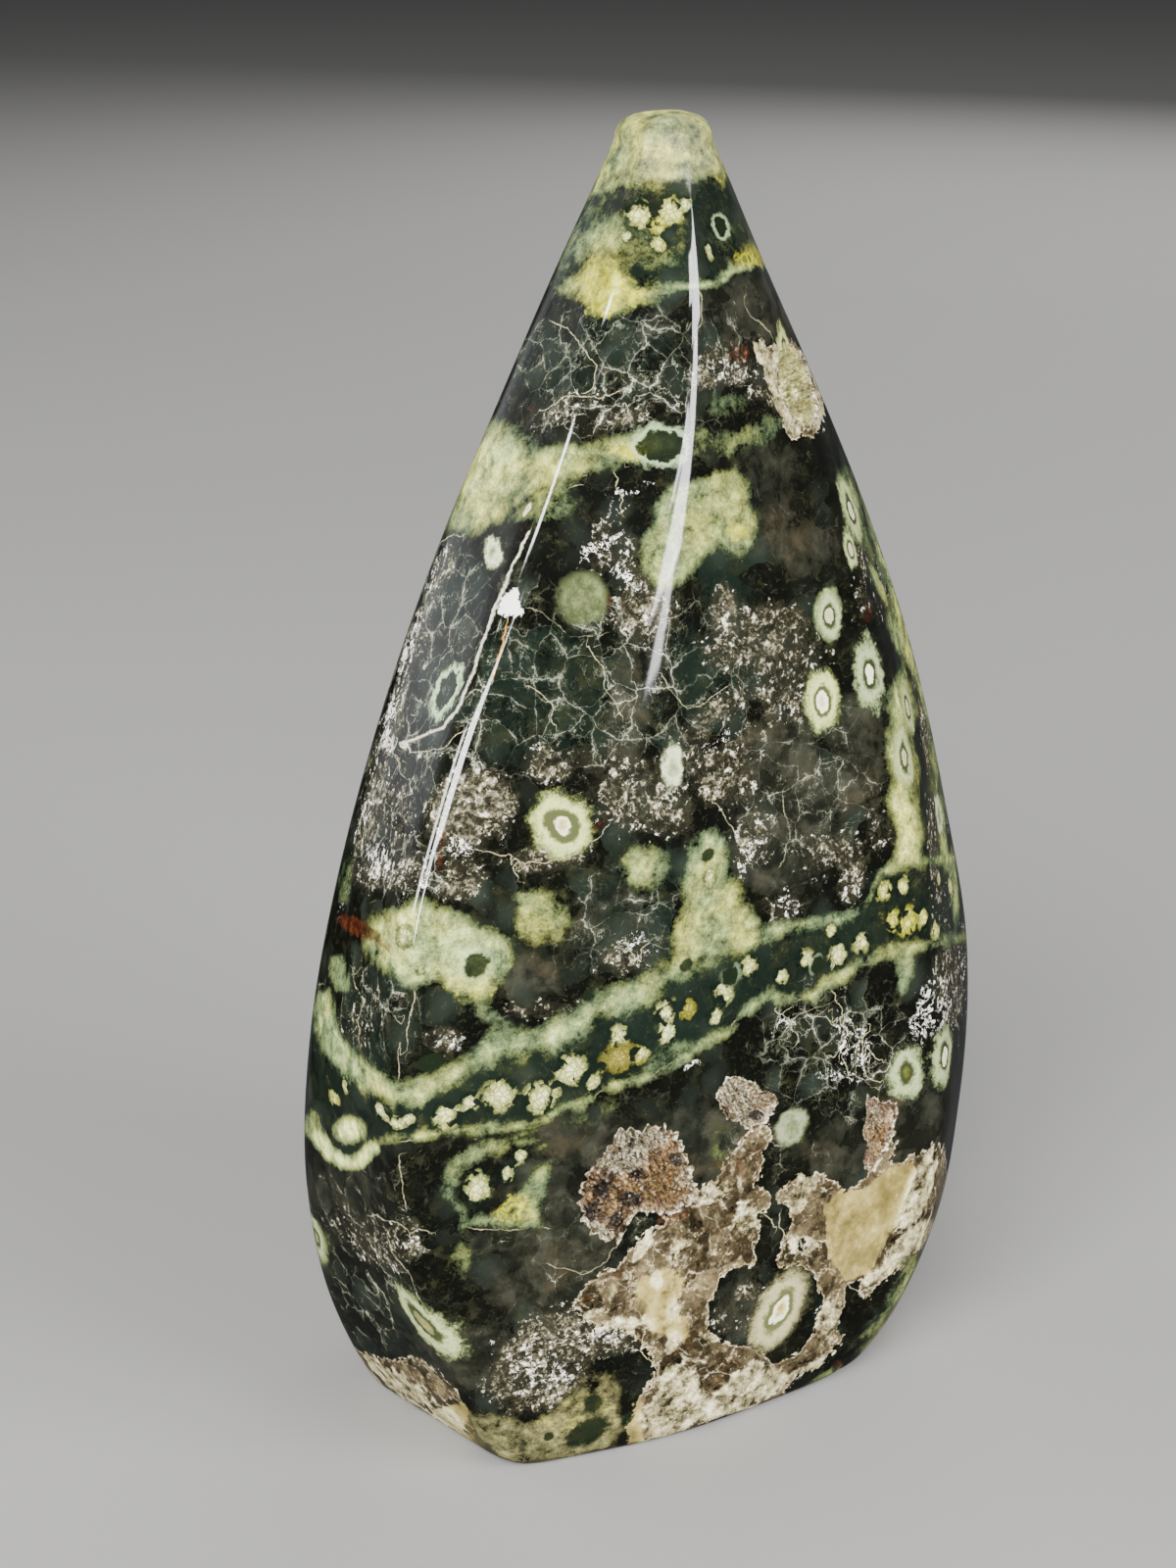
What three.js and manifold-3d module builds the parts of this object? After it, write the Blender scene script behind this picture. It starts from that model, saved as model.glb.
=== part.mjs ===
// Jasper teardrop: one polished freeform stone with a flat sawn base and four small vugs.
// Millimetres, +Z up, the broad front face towards -Y, the narrow side wall towards -X.
import * as THREE from 'three';
import { mergeVertices } from 'three/addons/utils/BufferGeometryUtils.js';
import Module from 'manifold-3d';

// Overall sizes
const HEIGHT = 140;              // resting face to the blunt tip
const DOME_START = 137;          // the rounded tip begins here
const DOME_POWER = 2.4;          // 2 is a half ellipse, more is blunter
const BASE_EDGE = 1.2;           // worn edge round the sawn base
const SHARPNESS = 24;            // how tight the soft ridges between the faces are
const COLUMNS = 76;              // points round each section
const RISES = 29;                // steps between the base edge and the tip
const OUTLINE_MIDDLE = [2.42, -0.92];

// Gap between the rock and the crystal crusts, and the height of the crystal points
const CRUST_GAP = 0.3;
const CRUST_THICKNESS = 0.7;
const CRYSTAL_POINT = 0.8;

// Corners of the cross-section at each height, x and y, going round from the ridge at front left
const STATIONS = [0, 4, 12, 26, 44, 62, 80, 96, 112, 126, 137];
const CORNERS = [
  { name: 'left ridge',
    x: [-23.8, -26.3, -30, -35.3, -37.8, -36.2, -29.9, -21.5, -12.8, -6.4, -0.9],
    y: [-17.6, -18.6, -19.2, -19.3, -18.8, -17.6, -15.9, -13.2, -9.9, -7.2, -3.5] },
  { name: 'middle ridge',
    x: [-5, -5.5, -6, -7, -8, -9, -9.5, -5, -0.6, 1, 3],
    y: [-21, -22.2, -23.2, -23.4, -22.9, -21.2, -19.2, -17, -14, -11, -5.5] },
  { name: 'right shoulder',
    x: [18, 21, 25, 28, 28, 26, 22.5, 19, 14, 10, 7],
    y: [-18.8, -20, -21, -21.4, -20.8, -18.8, -16.2, -13, -9.6, -7.4, -3.6] },
  { name: 'right edge',
    x: [30, 33.3, 38, 42.1, 43, 39.6, 34.9, 28.9, 21.5, 14.5, 9.5],
    y: [-10.5, -10, -9, -7, -6, -5, -4, -3, -2, -1, 0] },
  { name: 'right back',
    x: [28.5, 31.8, 36.4, 40.6, 41.5, 38.6, 34.4, 28.4, 21.2, 14.5, 9.5],
    y: [7, 7.5, 8, 9, 9, 8.5, 7.5, 6.5, 5, 4.5, 4] },
  { name: 'back right',
    x: [18, 20, 23, 26.5, 26.5, 25, 22.5, 18.5, 13.5, 9, 6.5],
    y: [17.6, 19, 20.6, 21, 20.6, 19, 17, 14, 11, 8.5, 5.5] },
  { name: 'back left',
    x: [-20, -21, -23, -25, -24.5, -22, -18.5, -14, -8, -2.5, 1],
    y: [17.6, 19, 20.6, 21, 20.6, 19, 17, 14.5, 11.5, 9, 5.5] },
  { name: 'left back',
    x: [-30, -32.2, -35.4, -37.9, -37.2, -33.3, -27.5, -21, -13.6, -6.6, -0.8],
    y: [6.5, 6, 6, 6, 5.6, 5.6, 5.2, 4.6, 3.6, 3, 2] },
];

// Vugs: a point on the face, the way the face looks, and the rim across (right) and up from it
const VUGS = [
  { node: 'large_vug_crust', at: [-11.4, -22.3, 33.9], faces: [-0.08, -1, 0.02], depth: 3.2,
    rings: 8, spokes: 34, colour: 0xa08a70,
    rim: [[6.2, -1.3], [5.3, 1.6], [4.3, 4.3], [1.8, 6], [0, 5.6], [-1.8, 6.5], [-3.2, 4.7],
      [-4.6, 3.2], [-6.2, 1.2], [-6.2, -2.5], [-4.8, -4.9], [-2.2, -6.2], [-1.3, -4.4],
      [-0.2, -3], [1.8, -3.7], [4.4, -4.3], [6.5, -3.2]] },
  { node: 'tooth_vug_crust', at: [1.6, -22.4, 40], faces: [0.03, -1, 0.05], depth: 1.9,
    rings: 4, spokes: 18, colour: 0xc2ab92,
    rim: [[3.8, -0.6], [1.6, 0.8], [0, 2.4], [-2.1, 3.3], [-3.5, 2], [-2.7, -0.3], [-0.8, -1.7],
      [1.3, -3.4], [2.7, -2.4]] },
  { node: 'side_vug_crust', at: [19, -21.9, 32.2], faces: [0.06, -1, 0.02], depth: 1.7,
    rings: 4, spokes: 18, colour: 0xb08a70,
    rim: [[2, -0.2], [2.3, 2.4], [0.4, 3], [-1.4, 4.4], [-1.3, 1.6], [-1, -1], [-1.7, -3.6],
      [-0.3, -4.6], [0.9, -2.8]] },
  { node: 'shoulder_vug_crust', at: [15.6, -7.3, 112.3], faces: [0.64, -0.7, 0.33], depth: 1.6,
    rings: 4, spokes: 20, colour: 0xd8d2b8,
    rim: [[5, -0.3], [5.2, 2], [2.9, 3.8], [0, 4.6], [-3, 4.3], [-4.2, 2.6], [-4.8, 0.8],
      [-4.2, -1.2], [-3.4, -2.9], [-1.6, -4.3], [1.8, -3.9], [4.4, -2.6]] },
];

// Smooth curve through hand-set values at uneven stations
function slopes(xs, ys) {
  const last = xs.length - 1;
  return xs.map((x, i) => {
    if (i === 0) return (ys[1] - ys[0]) / (xs[1] - xs[0]);
    if (i === last) return (ys[last] - ys[last - 1]) / (xs[last] - xs[last - 1]);
    const before = x - xs[i - 1];
    const after = xs[i + 1] - x;
    const rise = before * before * ys[i + 1] + (after * after - before * before) * ys[i];
    return (rise - after * after * ys[i - 1]) / (before * after * (before + after));
  });
}

function curveAt(xs, ys, x) {
  const held = Math.min(Math.max(x, xs[0]), xs[xs.length - 1]);
  let i = 0;
  while (i < xs.length - 2 && held > xs[i + 1]) i += 1;
  const m = slopes(xs, ys);
  const h = xs[i + 1] - xs[i];
  const t = (held - xs[i]) / h;
  const s = 1 - t;
  return (1 + 2 * t) * s * s * ys[i] + t * s * s * h * m[i]
    + t * t * (3 - 2 * t) * ys[i + 1] - t * t * s * h * m[i + 1];
}

// The line that a section's angles are measured from drifts right towards the tip
function middleAt(z) {
  return [curveAt([0, 60, 112, 137], [0, 0, 2.5, 4], z), 0];
}

// One section as straight walls between the corners: each wall's outward direction and distance
const wallCache = new Map();
function wallsAt(z) {
  const key = z.toFixed(4);
  if (wallCache.has(key)) return wallCache.get(key);
  const [cx, cy] = middleAt(z);
  const points = CORNERS.map((corner) => [
    curveAt(STATIONS, corner.x, z) - cx,
    curveAt(STATIONS, corner.y, z) - cy,
  ]);
  const walls = points.map(([x0, y0], i) => {
    const [x1, y1] = points[(i + 1) % points.length];
    const length = Math.hypot(x1 - x0, y1 - y0);
    const nx = (y1 - y0) / length;
    const ny = -(x1 - x0) / length;
    return { nx, ny, far: nx * x0 + ny * y0 };
  });
  wallCache.set(key, walls);
  return walls;
}

// Distance from the section's middle to the polished skin, the walls blended at their corners
function skinRadius(angle, z) {
  const c = Math.cos(angle);
  const s = Math.sin(angle);
  let total = 0;
  for (const wall of wallsAt(z)) {
    const reach = Math.max(c * wall.nx + s * wall.ny, 0) / wall.far;
    total += reach ** SHARPNESS;
  }
  return total ** (-1 / SHARPNESS);
}

function skinPoint(angle, z) {
  const [cx, cy] = middleAt(z);
  const r = skinRadius(angle, z);
  return [cx + r * Math.cos(angle), cy + r * Math.sin(angle), z];
}

// Angles that give even steps along the widest section
function columnAngles() {
  const fine = 1440;
  const points = [];
  for (let i = 0; i <= fine; i += 1) points.push(skinPoint((i / fine) * 2 * Math.PI - Math.PI, 44));
  const run = [0];
  for (let i = 1; i <= fine; i += 1) {
    run.push(run[i - 1] + Math.hypot(points[i][0] - points[i - 1][0], points[i][1] - points[i - 1][1]));
  }
  const angles = [];
  let k = 0;
  for (let j = 0; j < COLUMNS; j += 1) {
    const want = (run[fine] * j) / COLUMNS;
    while (run[k + 1] < want) k += 1;
    const part = (want - run[k]) / (run[k + 1] - run[k]);
    angles.push(((k + part) / fine) * 2 * Math.PI - Math.PI);
  }
  return angles;
}

// The rings of the skin: worn base edge, the body, then the blunt domed tip
function skinRings(angles) {
  const rings = [];
  const shrunk = (z, skinZ, inset, scale) => angles.map((angle) => {
    const [cx, cy] = middleAt(skinZ);
    const r = (skinRadius(angle, skinZ) - inset) * scale;
    return [cx + r * Math.cos(angle), cy + r * Math.sin(angle), z];
  });
  for (let i = 0; i < 4; i += 1) {
    const turn = (i / 4) * (Math.PI / 2);
    rings.push(shrunk(BASE_EDGE * (1 - Math.cos(turn)), 0, BASE_EDGE * (1 - Math.sin(turn)), 1));
  }
  for (let i = 0; i <= RISES; i += 1) {
    const z = BASE_EDGE + ((DOME_START - BASE_EDGE) * i) / RISES;
    rings.push(shrunk(z, z, 0, 1));
  }
  for (let i = 1; i < 5; i += 1) {
    const lift = Math.sin((i / 5) * (Math.PI / 2));
    const scale = (1 - lift ** DOME_POWER) ** (1 / DOME_POWER);
    rings.push(shrunk(DOME_START + (HEIGHT - DOME_START) * lift, DOME_START, 0, scale));
  }
  return rings;
}

function meshFrom(points, faces) {
  const geometry = new THREE.BufferGeometry();
  geometry.setAttribute('position', new THREE.Float32BufferAttribute(points.flat(), 3));
  geometry.setIndex(faces.flat());
  return geometry;
}

function stoneSkin() {
  const angles = columnAngles();
  const rings = skinRings(angles);
  const points = rings.flat();
  const faces = [];
  const n = angles.length;
  for (let i = 0; i < rings.length - 1; i += 1) {
    for (let j = 0; j < n; j += 1) {
      const a = i * n + j;
      const b = i * n + ((j + 1) % n);
      faces.push([a, b, b + n], [a, b + n, a + n]);
    }
  }
  const foot = points.length;
  points.push([...middleAt(0), 0]);
  const crown = points.length;
  points.push([...middleAt(DOME_START), HEIGHT]);
  const top = (rings.length - 1) * n;
  for (let j = 0; j < n; j += 1) {
    const next = (j + 1) % n;
    faces.push([foot, next, j], [crown, top + j, top + next]);
  }
  return meshFrom(points, faces);
}

// A vug's own axes on the face: right, up and out
function vugAxes(vug) {
  const out = new THREE.Vector3(...vug.faces).normalize();
  const right = new THREE.Vector3(0, 0, 1).cross(out).normalize();
  const up = out.clone().cross(right);
  return { right, up, out, at: new THREE.Vector3(...vug.at) };
}

// How far out of the vug's flat plane the polished skin lies at a place across and up
function skinLift(axes, across, up) {
  const start = axes.at.clone().addScaledVector(axes.right, across).addScaledVector(axes.up, up);
  let low = -4;
  let high = 4;
  for (let k = 0; k < 18; k += 1) {
    const mid = (low + high) / 2;
    const p = start.clone().addScaledVector(axes.out, mid);
    const [cx, cy] = middleAt(p.z);
    const inside = Math.hypot(p.x - cx, p.y - cy) < skinRadius(Math.atan2(p.y - cy, p.x - cx), p.z);
    if (inside) low = mid;
    else high = mid;
  }
  return low;
}

// Rim distance in a direction, straight between the rim's points
function rimReach(rim, angle) {
  const turn = (a) => ((a % (2 * Math.PI)) + 2 * Math.PI) % (2 * Math.PI);
  const polar = rim
    .map(([x, y]) => ({ a: turn(Math.atan2(y, x)), x, y }))
    .sort((p, q) => p.a - q.a);
  const want = turn(angle);
  let next = polar.findIndex((p) => p.a > want);
  if (next < 0) next = 0;
  const p = polar[(next + polar.length - 1) % polar.length];
  const q = polar[next];
  const cross = p.x * q.y - q.x * p.y;
  return cross / ((q.y - p.y) * Math.cos(want) - (q.x - p.x) * Math.sin(want));
}

// The pit's floor, measured in from the polished skin: steep at the rim, lumpy in the middle
function pitDepth(vug, share, across, up) {
  const bowl = 0.4 + 0.6 * (1 - share ** 2.5);
  const lumps = 0.16 * Math.sin(across * 1.9 + 1) * Math.cos(up * 1.6);
  return vug.depth * (bowl + lumps * (1 - share));
}

// A closed body between two surfaces over a rim: the pit's cutter and the crusts are made with it
function radialBody(vug, inset, topOf, bottomOf) {
  const axes = vugAxes(vug);
  const { rings, spokes } = vug;
  const side = (heightOf) => {
    const list = [];
    for (let i = 0; i <= rings; i += 1) {
      for (let j = 0; j < (i === 0 ? 1 : spokes); j += 1) {
        const angle = (j / spokes) * 2 * Math.PI;
        const share = i / rings;
        const reach = (rimReach(vug.rim, angle) - inset) * share;
        const across = reach * Math.cos(angle);
        const up = reach * Math.sin(angle);
        const out = skinLift(axes, across, up) + heightOf(share, across, up, i * 97 + j);
        const p = axes.at.clone()
          .addScaledVector(axes.right, across)
          .addScaledVector(axes.up, up)
          .addScaledVector(axes.out, out);
        list.push([p.x, p.y, p.z]);
      }
    }
    return list;
  };
  const top = side(topOf);
  const bottom = side(bottomOf);
  const offset = top.length;
  const spot = (i, j) => (i === 0 ? 0 : 1 + (i - 1) * spokes + (j % spokes));
  const faces = [];
  for (let i = 0; i < rings; i += 1) {
    for (let j = 0; j < spokes; j += 1) {
      const a = spot(i, j);
      const b = spot(i, j + 1);
      const c = spot(i + 1, j + 1);
      const d = spot(i + 1, j);
      faces.push([a, d, c], [offset + a, offset + c, offset + d]);
      if (i > 0) faces.push([a, c, b], [offset + a, offset + b, offset + c]);
    }
  }
  for (let j = 0; j < spokes; j += 1) {
    const a = spot(rings, j);
    const b = spot(rings, j + 1);
    faces.push([offset + a, offset + b, b], [offset + a, b, a]);
  }
  return meshFrom([...top, ...bottom], faces);
}

function pitCutter(vug) {
  return radialBody(vug, 0, () => 2.5, (share, across, up) => -pitDepth(vug, share, across, up));
}

// Repeatable scatter between 0 and 1
function scatter(k) {
  const value = Math.sin(k * 12.9898 + 4.1) * 43758.5453;
  return value - Math.floor(value);
}

// Sugary crystal points on a thin crust that lines the pit and stays below the polished skin
function crustSkin(vug) {
  const floor = (share, across, up) => CRUST_GAP - pitDepth(vug, share, across, up);
  const points = (share, across, up, k) => {
    const height = CRUST_THICKNESS * (1 - 0.35 * share) + CRYSTAL_POINT * scatter(k);
    const wanted = floor(share, across, up) + height;
    return Math.min(wanted, -0.15);
  };
  return radialBody(vug, CRUST_GAP, points, floor);
}

const wasm = await Module();
wasm.setup();

function toSolid(geometry) {
  const plain = geometry.clone();
  plain.deleteAttribute('normal');
  plain.deleteAttribute('uv');
  const merged = mergeVertices(plain, 1e-4);
  return new wasm.Manifold(new wasm.Mesh({
    numProp: 3,
    vertProperties: new Float32Array(merged.attributes.position.array),
    triVerts: new Uint32Array(merged.index.array),
  }));
}

function fromSolid(solid) {
  const mesh = solid.getMesh();
  const geometry = new THREE.BufferGeometry();
  geometry.setAttribute('position', new THREE.BufferAttribute(new Float32Array(mesh.vertProperties), 3));
  geometry.setIndex(new THREE.BufferAttribute(new Uint32Array(mesh.triVerts), 1));
  return geometry;
}

function finished(name, geometry, colour, roughness) {
  geometry.translate(-OUTLINE_MIDDLE[0], -OUTLINE_MIDDLE[1], 0);
  geometry.computeVertexNormals();
  const material = new THREE.MeshStandardMaterial({ color: colour, roughness, metalness: 0 });
  const mesh = new THREE.Mesh(geometry, material);
  mesh.name = name;
  return mesh;
}

// Polished jasper, mostly dark bottle green under a glassy polish
function jasperStone() {
  let solid = toSolid(stoneSkin());
  for (const vug of VUGS) solid = solid.subtract(toSolid(pitCutter(vug)));
  return finished('jasper_stone', fromSolid(solid), 0x39443a, 0.12);
}

const group = new THREE.Group();
group.name = 'jasper_teardrop';
group.add(jasperStone());
for (const vug of VUGS) group.add(finished(vug.node, crustSkin(vug), vug.colour, 0.55));

export default group;
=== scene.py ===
import math

import bmesh
import bpy
import numpy as np
from mathutils import Matrix, Vector
from mathutils.bvhtree import BVHTree


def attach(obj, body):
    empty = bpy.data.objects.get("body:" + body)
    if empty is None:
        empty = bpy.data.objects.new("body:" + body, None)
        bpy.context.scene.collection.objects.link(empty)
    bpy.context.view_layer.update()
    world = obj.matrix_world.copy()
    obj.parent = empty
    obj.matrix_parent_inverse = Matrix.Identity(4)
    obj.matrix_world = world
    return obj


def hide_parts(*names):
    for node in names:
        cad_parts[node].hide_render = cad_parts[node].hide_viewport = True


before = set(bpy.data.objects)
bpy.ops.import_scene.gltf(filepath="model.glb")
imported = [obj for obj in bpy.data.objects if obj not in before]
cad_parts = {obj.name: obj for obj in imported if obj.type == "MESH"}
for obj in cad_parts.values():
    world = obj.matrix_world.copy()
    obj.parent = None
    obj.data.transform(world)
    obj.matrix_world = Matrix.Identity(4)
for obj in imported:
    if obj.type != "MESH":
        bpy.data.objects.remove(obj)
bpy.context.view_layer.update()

# ---------------------------------------------------------------- the view
# The stone is seen from its front left, a little from above, as a hand-held camera saw it.
# Sizes in this file are millimetres until a mesh is finished, and then metres.
MM = 0.001
PICTURE = (1200, 1600)
VIEW_TURN = math.radians(-29)
VIEW_LIFT = math.radians(20)
VIEW_DISTANCE = 299
LENS = 65
SENSOR = 36
AIM = Vector((-9.62, -2.88, 71.4))

view_back = Vector((
    math.sin(VIEW_TURN) * math.cos(VIEW_LIFT),
    -math.cos(VIEW_TURN) * math.cos(VIEW_LIFT),
    math.sin(VIEW_LIFT),
))
view_right = Vector((math.cos(VIEW_TURN), math.sin(VIEW_TURN), 0))
view_up = view_back.cross(view_right)
view_place = AIM + view_back * VIEW_DISTANCE
focal_pixels = LENS / SENSOR * PICTURE[1]
pixel_size = VIEW_DISTANCE / focal_pixels

camera = bpy.data.objects.new("camera", bpy.data.cameras.new("camera"))
camera.data.lens = LENS
camera.data.sensor_width = SENSOR
camera.data.clip_start = 0.01
camera.data.clip_end = 20
turn = Matrix((view_right, view_up, view_back)).transposed().to_4x4()
camera.matrix_world = Matrix.Translation(view_place * MM) @ turn
bpy.context.scene.collection.objects.link(camera)
bpy.context.scene.camera = camera


def sight_line(x, y):
    """Direction from the camera through a place in the 1200 by 1600 picture."""
    across = (x - PICTURE[0] / 2) / focal_pixels
    down = (y - PICTURE[1] / 2) / focal_pixels
    return (view_right * across - view_up * down - view_back).normalized()


def picture_places(points):
    """Where points of the stone fall in the picture."""
    away = points - np.array(view_place)
    depth = -(away @ np.array(view_back))
    x = PICTURE[0] / 2 + focal_pixels * (away @ np.array(view_right)) / depth
    y = PICTURE[1] / 2 - focal_pixels * (away @ np.array(view_up)) / depth
    return x, y


# ---------------------------------------------------------------- the polished stone
# One piece of orbicular jasper, ground to a teardrop with soft ridges between broad faces,
# sawn flat underneath and polished all over. Four natural vugs stay open in its skin.
HEIGHT = 140
DOME_START = 137
DOME_POWER = 2.4
BASE_EDGE = 1.2
SHARPNESS = 24
OUTLINE_MIDDLE = np.array([2.42, -0.92, 0])
STATIONS = [0, 4, 12, 26, 44, 62, 80, 96, 112, 126, 137]
CORNERS = {
    "left ridge": (
        [-23.8, -26.3, -30, -35.3, -37.8, -36.2, -29.9, -21.5, -12.8, -6.4, -0.9],
        [-17.6, -18.6, -19.2, -19.3, -18.8, -17.6, -15.9, -13.2, -9.9, -7.2, -3.5]),
    "middle ridge": (
        [-5, -5.5, -6, -7, -8, -9, -9.5, -5, -0.6, 1, 3],
        [-21, -22.2, -23.2, -23.4, -22.9, -21.2, -19.2, -17, -14, -11, -5.5]),
    "right shoulder": (
        [18, 21, 25, 28, 28, 26, 22.5, 19, 14, 10, 7],
        [-18.8, -20, -21, -21.4, -20.8, -18.8, -16.2, -13, -9.6, -7.4, -3.6]),
    "right edge": (
        [30, 33.3, 38, 42.1, 43, 39.6, 34.9, 28.9, 21.5, 14.5, 9.5],
        [-10.5, -10, -9, -7, -6, -5, -4, -3, -2, -1, 0]),
    "right back": (
        [28.5, 31.8, 36.4, 40.6, 41.5, 38.6, 34.4, 28.4, 21.2, 14.5, 9.5],
        [7, 7.5, 8, 9, 9, 8.5, 7.5, 6.5, 5, 4.5, 4]),
    "back right": (
        [18, 20, 23, 26.5, 26.5, 25, 22.5, 18.5, 13.5, 9, 6.5],
        [17.6, 19, 20.6, 21, 20.6, 19, 17, 14, 11, 8.5, 5.5]),
    "back left": (
        [-20, -21, -23, -25, -24.5, -22, -18.5, -14, -8, -2.5, 1],
        [17.6, 19, 20.6, 21, 20.6, 19, 17, 14.5, 11.5, 9, 5.5]),
    "left back": (
        [-30, -32.2, -35.4, -37.9, -37.2, -33.3, -27.5, -21, -13.6, -6.6, -0.8],
        [6.5, 6, 6, 6, 5.6, 5.6, 5.2, 4.6, 3.6, 3, 2]),
}


def curve_at(xs, ys, x):
    """Smooth curve through given values at uneven stations."""
    xs, ys = np.array(xs, float), np.array(ys, float)
    slope = np.gradient(ys, xs)
    x = np.clip(x, xs[0], xs[-1])
    i = np.clip(np.searchsorted(xs, x, side="right") - 1, 0, len(xs) - 2)
    h = xs[i + 1] - xs[i]
    t = (x - xs[i]) / h
    s = 1 - t
    return ((1 + 2 * t) * s * s * ys[i] + t * s * s * h * slope[i]
            + t * t * (3 - 2 * t) * ys[i + 1] - t * t * s * h * slope[i + 1])


def middle_at(z):
    """Middle of a section: it drifts right towards the tip."""
    return curve_at([0, 60, 112, 137], [0, 0, 2.5, 4], z)


def skin_radius(angle, z):
    """Distance from a section's middle to the skin, the straight walls blended at their corners."""
    middle = middle_at(z)
    points = [(curve_at(STATIONS, x, z) - middle, curve_at(STATIONS, y, z)) for x, y in CORNERS.values()]
    total = 0
    for (x0, y0), (x1, y1) in zip(points, points[1:] + points[:1]):
        length = np.hypot(x1 - x0, y1 - y0)
        nx, ny = (y1 - y0) / length, (x0 - x1) / length
        reach = np.maximum(np.cos(angle) * nx + np.sin(angle) * ny, 0) / (nx * x0 + ny * y0)
        total = total + reach ** SHARPNESS
    return total ** (-1 / SHARPNESS)


def column_angles(share):
    """Angle of a share of the way round, with closer columns on the face that the view sees."""
    angle = np.linspace(-math.pi, math.pi, 2881)
    level = np.full_like(angle, 44.0)
    radius = skin_radius(angle, level)
    x, y = radius * np.cos(angle), radius * np.sin(angle)
    steps = np.hypot(np.diff(x), np.diff(y))
    facing = 1 + 0.4 * np.cos((angle[1:] + angle[:-1]) / 2 - math.radians(-115))
    run = np.concatenate([[0], np.cumsum(steps * facing)])
    return np.interp(share, run / run[-1], angle)


def stone_rows(share):
    """Height, section height, inset and scale of a row: flat base, worn edge, body, domed tip."""
    quarter = np.linspace(0, math.pi / 2, 7)
    stops = [(0, 0, 0, 0, 0), (0.012, 0, 0, BASE_EDGE, 0.5), (0.022, 0, 0, BASE_EDGE, 1)]
    for k, q in enumerate(quarter[1:], 1):
        lift = BASE_EDGE * (1 - math.cos(q))
        stops.append((0.022 + 0.003 * k, lift, lift * (k / 6) ** 4, BASE_EDGE * (1 - math.sin(q)), 1))
    stops.append((0.955, DOME_START, DOME_START, 0, 1))
    for k, q in enumerate(np.linspace(0, math.pi / 2, 12)[1:], 1):
        lift = math.sin(q)
        shrink = max(1 - lift ** DOME_POWER, 0) ** (1 / DOME_POWER)
        stops.append((0.955 + 0.045 * k / 11, DOME_START + (HEIGHT - DOME_START) * lift, DOME_START, 0, shrink))
    table = np.array(stops)
    return [np.interp(share, table[:, 0], table[:, k]) for k in (1, 2, 3, 4)]


def stone_skin(round_share, up_share):
    """Points of the polished skin, in the frame of the CAD part."""
    angle = column_angles(round_share)
    z, level, inset, scale = stone_rows(up_share)
    radius = (skin_radius(angle, level) - inset) * scale
    points = np.stack([middle_at(level) + radius * np.cos(angle), radius * np.sin(angle), z], -1)
    return points - OUTLINE_MIDDLE


VUGS = {
    "large_vug": {
        "node": "large_vug_crust", "slot": "brown_quartz_crust",
        "at": (-11.4, -22.3, 33.9), "faces": (-0.08, -1, 0.02), "depth": 3.2,
        "rim": [(6.2, -1.3), (5.3, 1.6), (4.3, 4.3), (1.8, 6), (0, 5.6), (-1.8, 6.5), (-3.2, 4.7),
                (-4.6, 3.2), (-6.2, 1.2), (-6.2, -2.5), (-4.8, -4.9), (-2.2, -6.2), (-1.3, -4.4),
                (-0.2, -3), (1.8, -3.7), (4.4, -4.3), (6.5, -3.2)]},
    "tooth_vug": {
        "node": "tooth_vug_crust", "slot": "pink_quartz_crust",
        "at": (1.6, -22.4, 40), "faces": (0.03, -1, 0.05), "depth": 1.9,
        "rim": [(3.8, -0.6), (1.6, 0.8), (0, 2.4), (-2.1, 3.3), (-3.5, 2), (-2.7, -0.3),
                (-0.8, -1.7), (1.3, -3.4), (2.7, -2.4)]},
    "side_vug": {
        "node": "side_vug_crust", "slot": "rusty_quartz_crust",
        "at": (19, -21.9, 32.2), "faces": (0.06, -1, 0.02), "depth": 1.7,
        "rim": [(2, -0.2), (2.3, 2.4), (0.4, 3), (-1.4, 4.4), (-1.3, 1.6), (-1, -1), (-1.7, -3.6),
                (-0.3, -4.6), (0.9, -2.8)]},
    "shoulder_vug": {
        "node": "shoulder_vug_crust", "slot": "pale_quartz_crust",
        "at": (15.6, -7.3, 112.3), "faces": (0.64, -0.7, 0.33), "depth": 1.6,
        "rim": [(5, -0.3), (5.2, 2), (2.9, 3.8), (0, 4.6), (-3, 4.3), (-4.2, 2.6), (-4.8, 0.8),
                (-4.2, -1.2), (-3.4, -2.9), (-1.6, -4.3), (1.8, -3.9), (4.4, -2.6)]},
}
for vug in VUGS.values():
    out = Vector(vug["faces"]).normalized()
    across = Vector((0, 0, 1)).cross(out).normalized()
    vug["centre"] = np.array(vug["at"]) - OUTLINE_MIDDLE
    vug["axes"] = np.array([across, out.cross(across), out])
    rim = np.array(vug["rim"])
    turns = np.arctan2(rim[:, 1], rim[:, 0])
    order = np.argsort(turns)
    vug["rim_turns"], vug["rim_reach"] = turns[order], np.hypot(rim[order, 0], rim[order, 1])


def rim_reach(vug, angle):
    """Distance from a vug's middle to its rim, with the small teeth of broken crystal edges."""
    reach = np.interp(angle, vug["rim_turns"], vug["rim_reach"], period=2 * math.pi)
    return reach * (1 + 0.035 * np.sin(angle * 23 + 1) + 0.03 * np.sin(angle * 41))


def vug_places(vug, points):
    """Places across, up and out of a vug's plane, and the share of the way to its rim."""
    local = (points - vug["centre"]) @ vug["axes"].T
    angle = np.arctan2(local[:, 1], local[:, 0])
    share = np.hypot(local[:, 0], local[:, 1]) / rim_reach(vug, angle)
    share = np.where(np.abs(local[:, 2]) < 6, share, 9)
    return local, share


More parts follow.
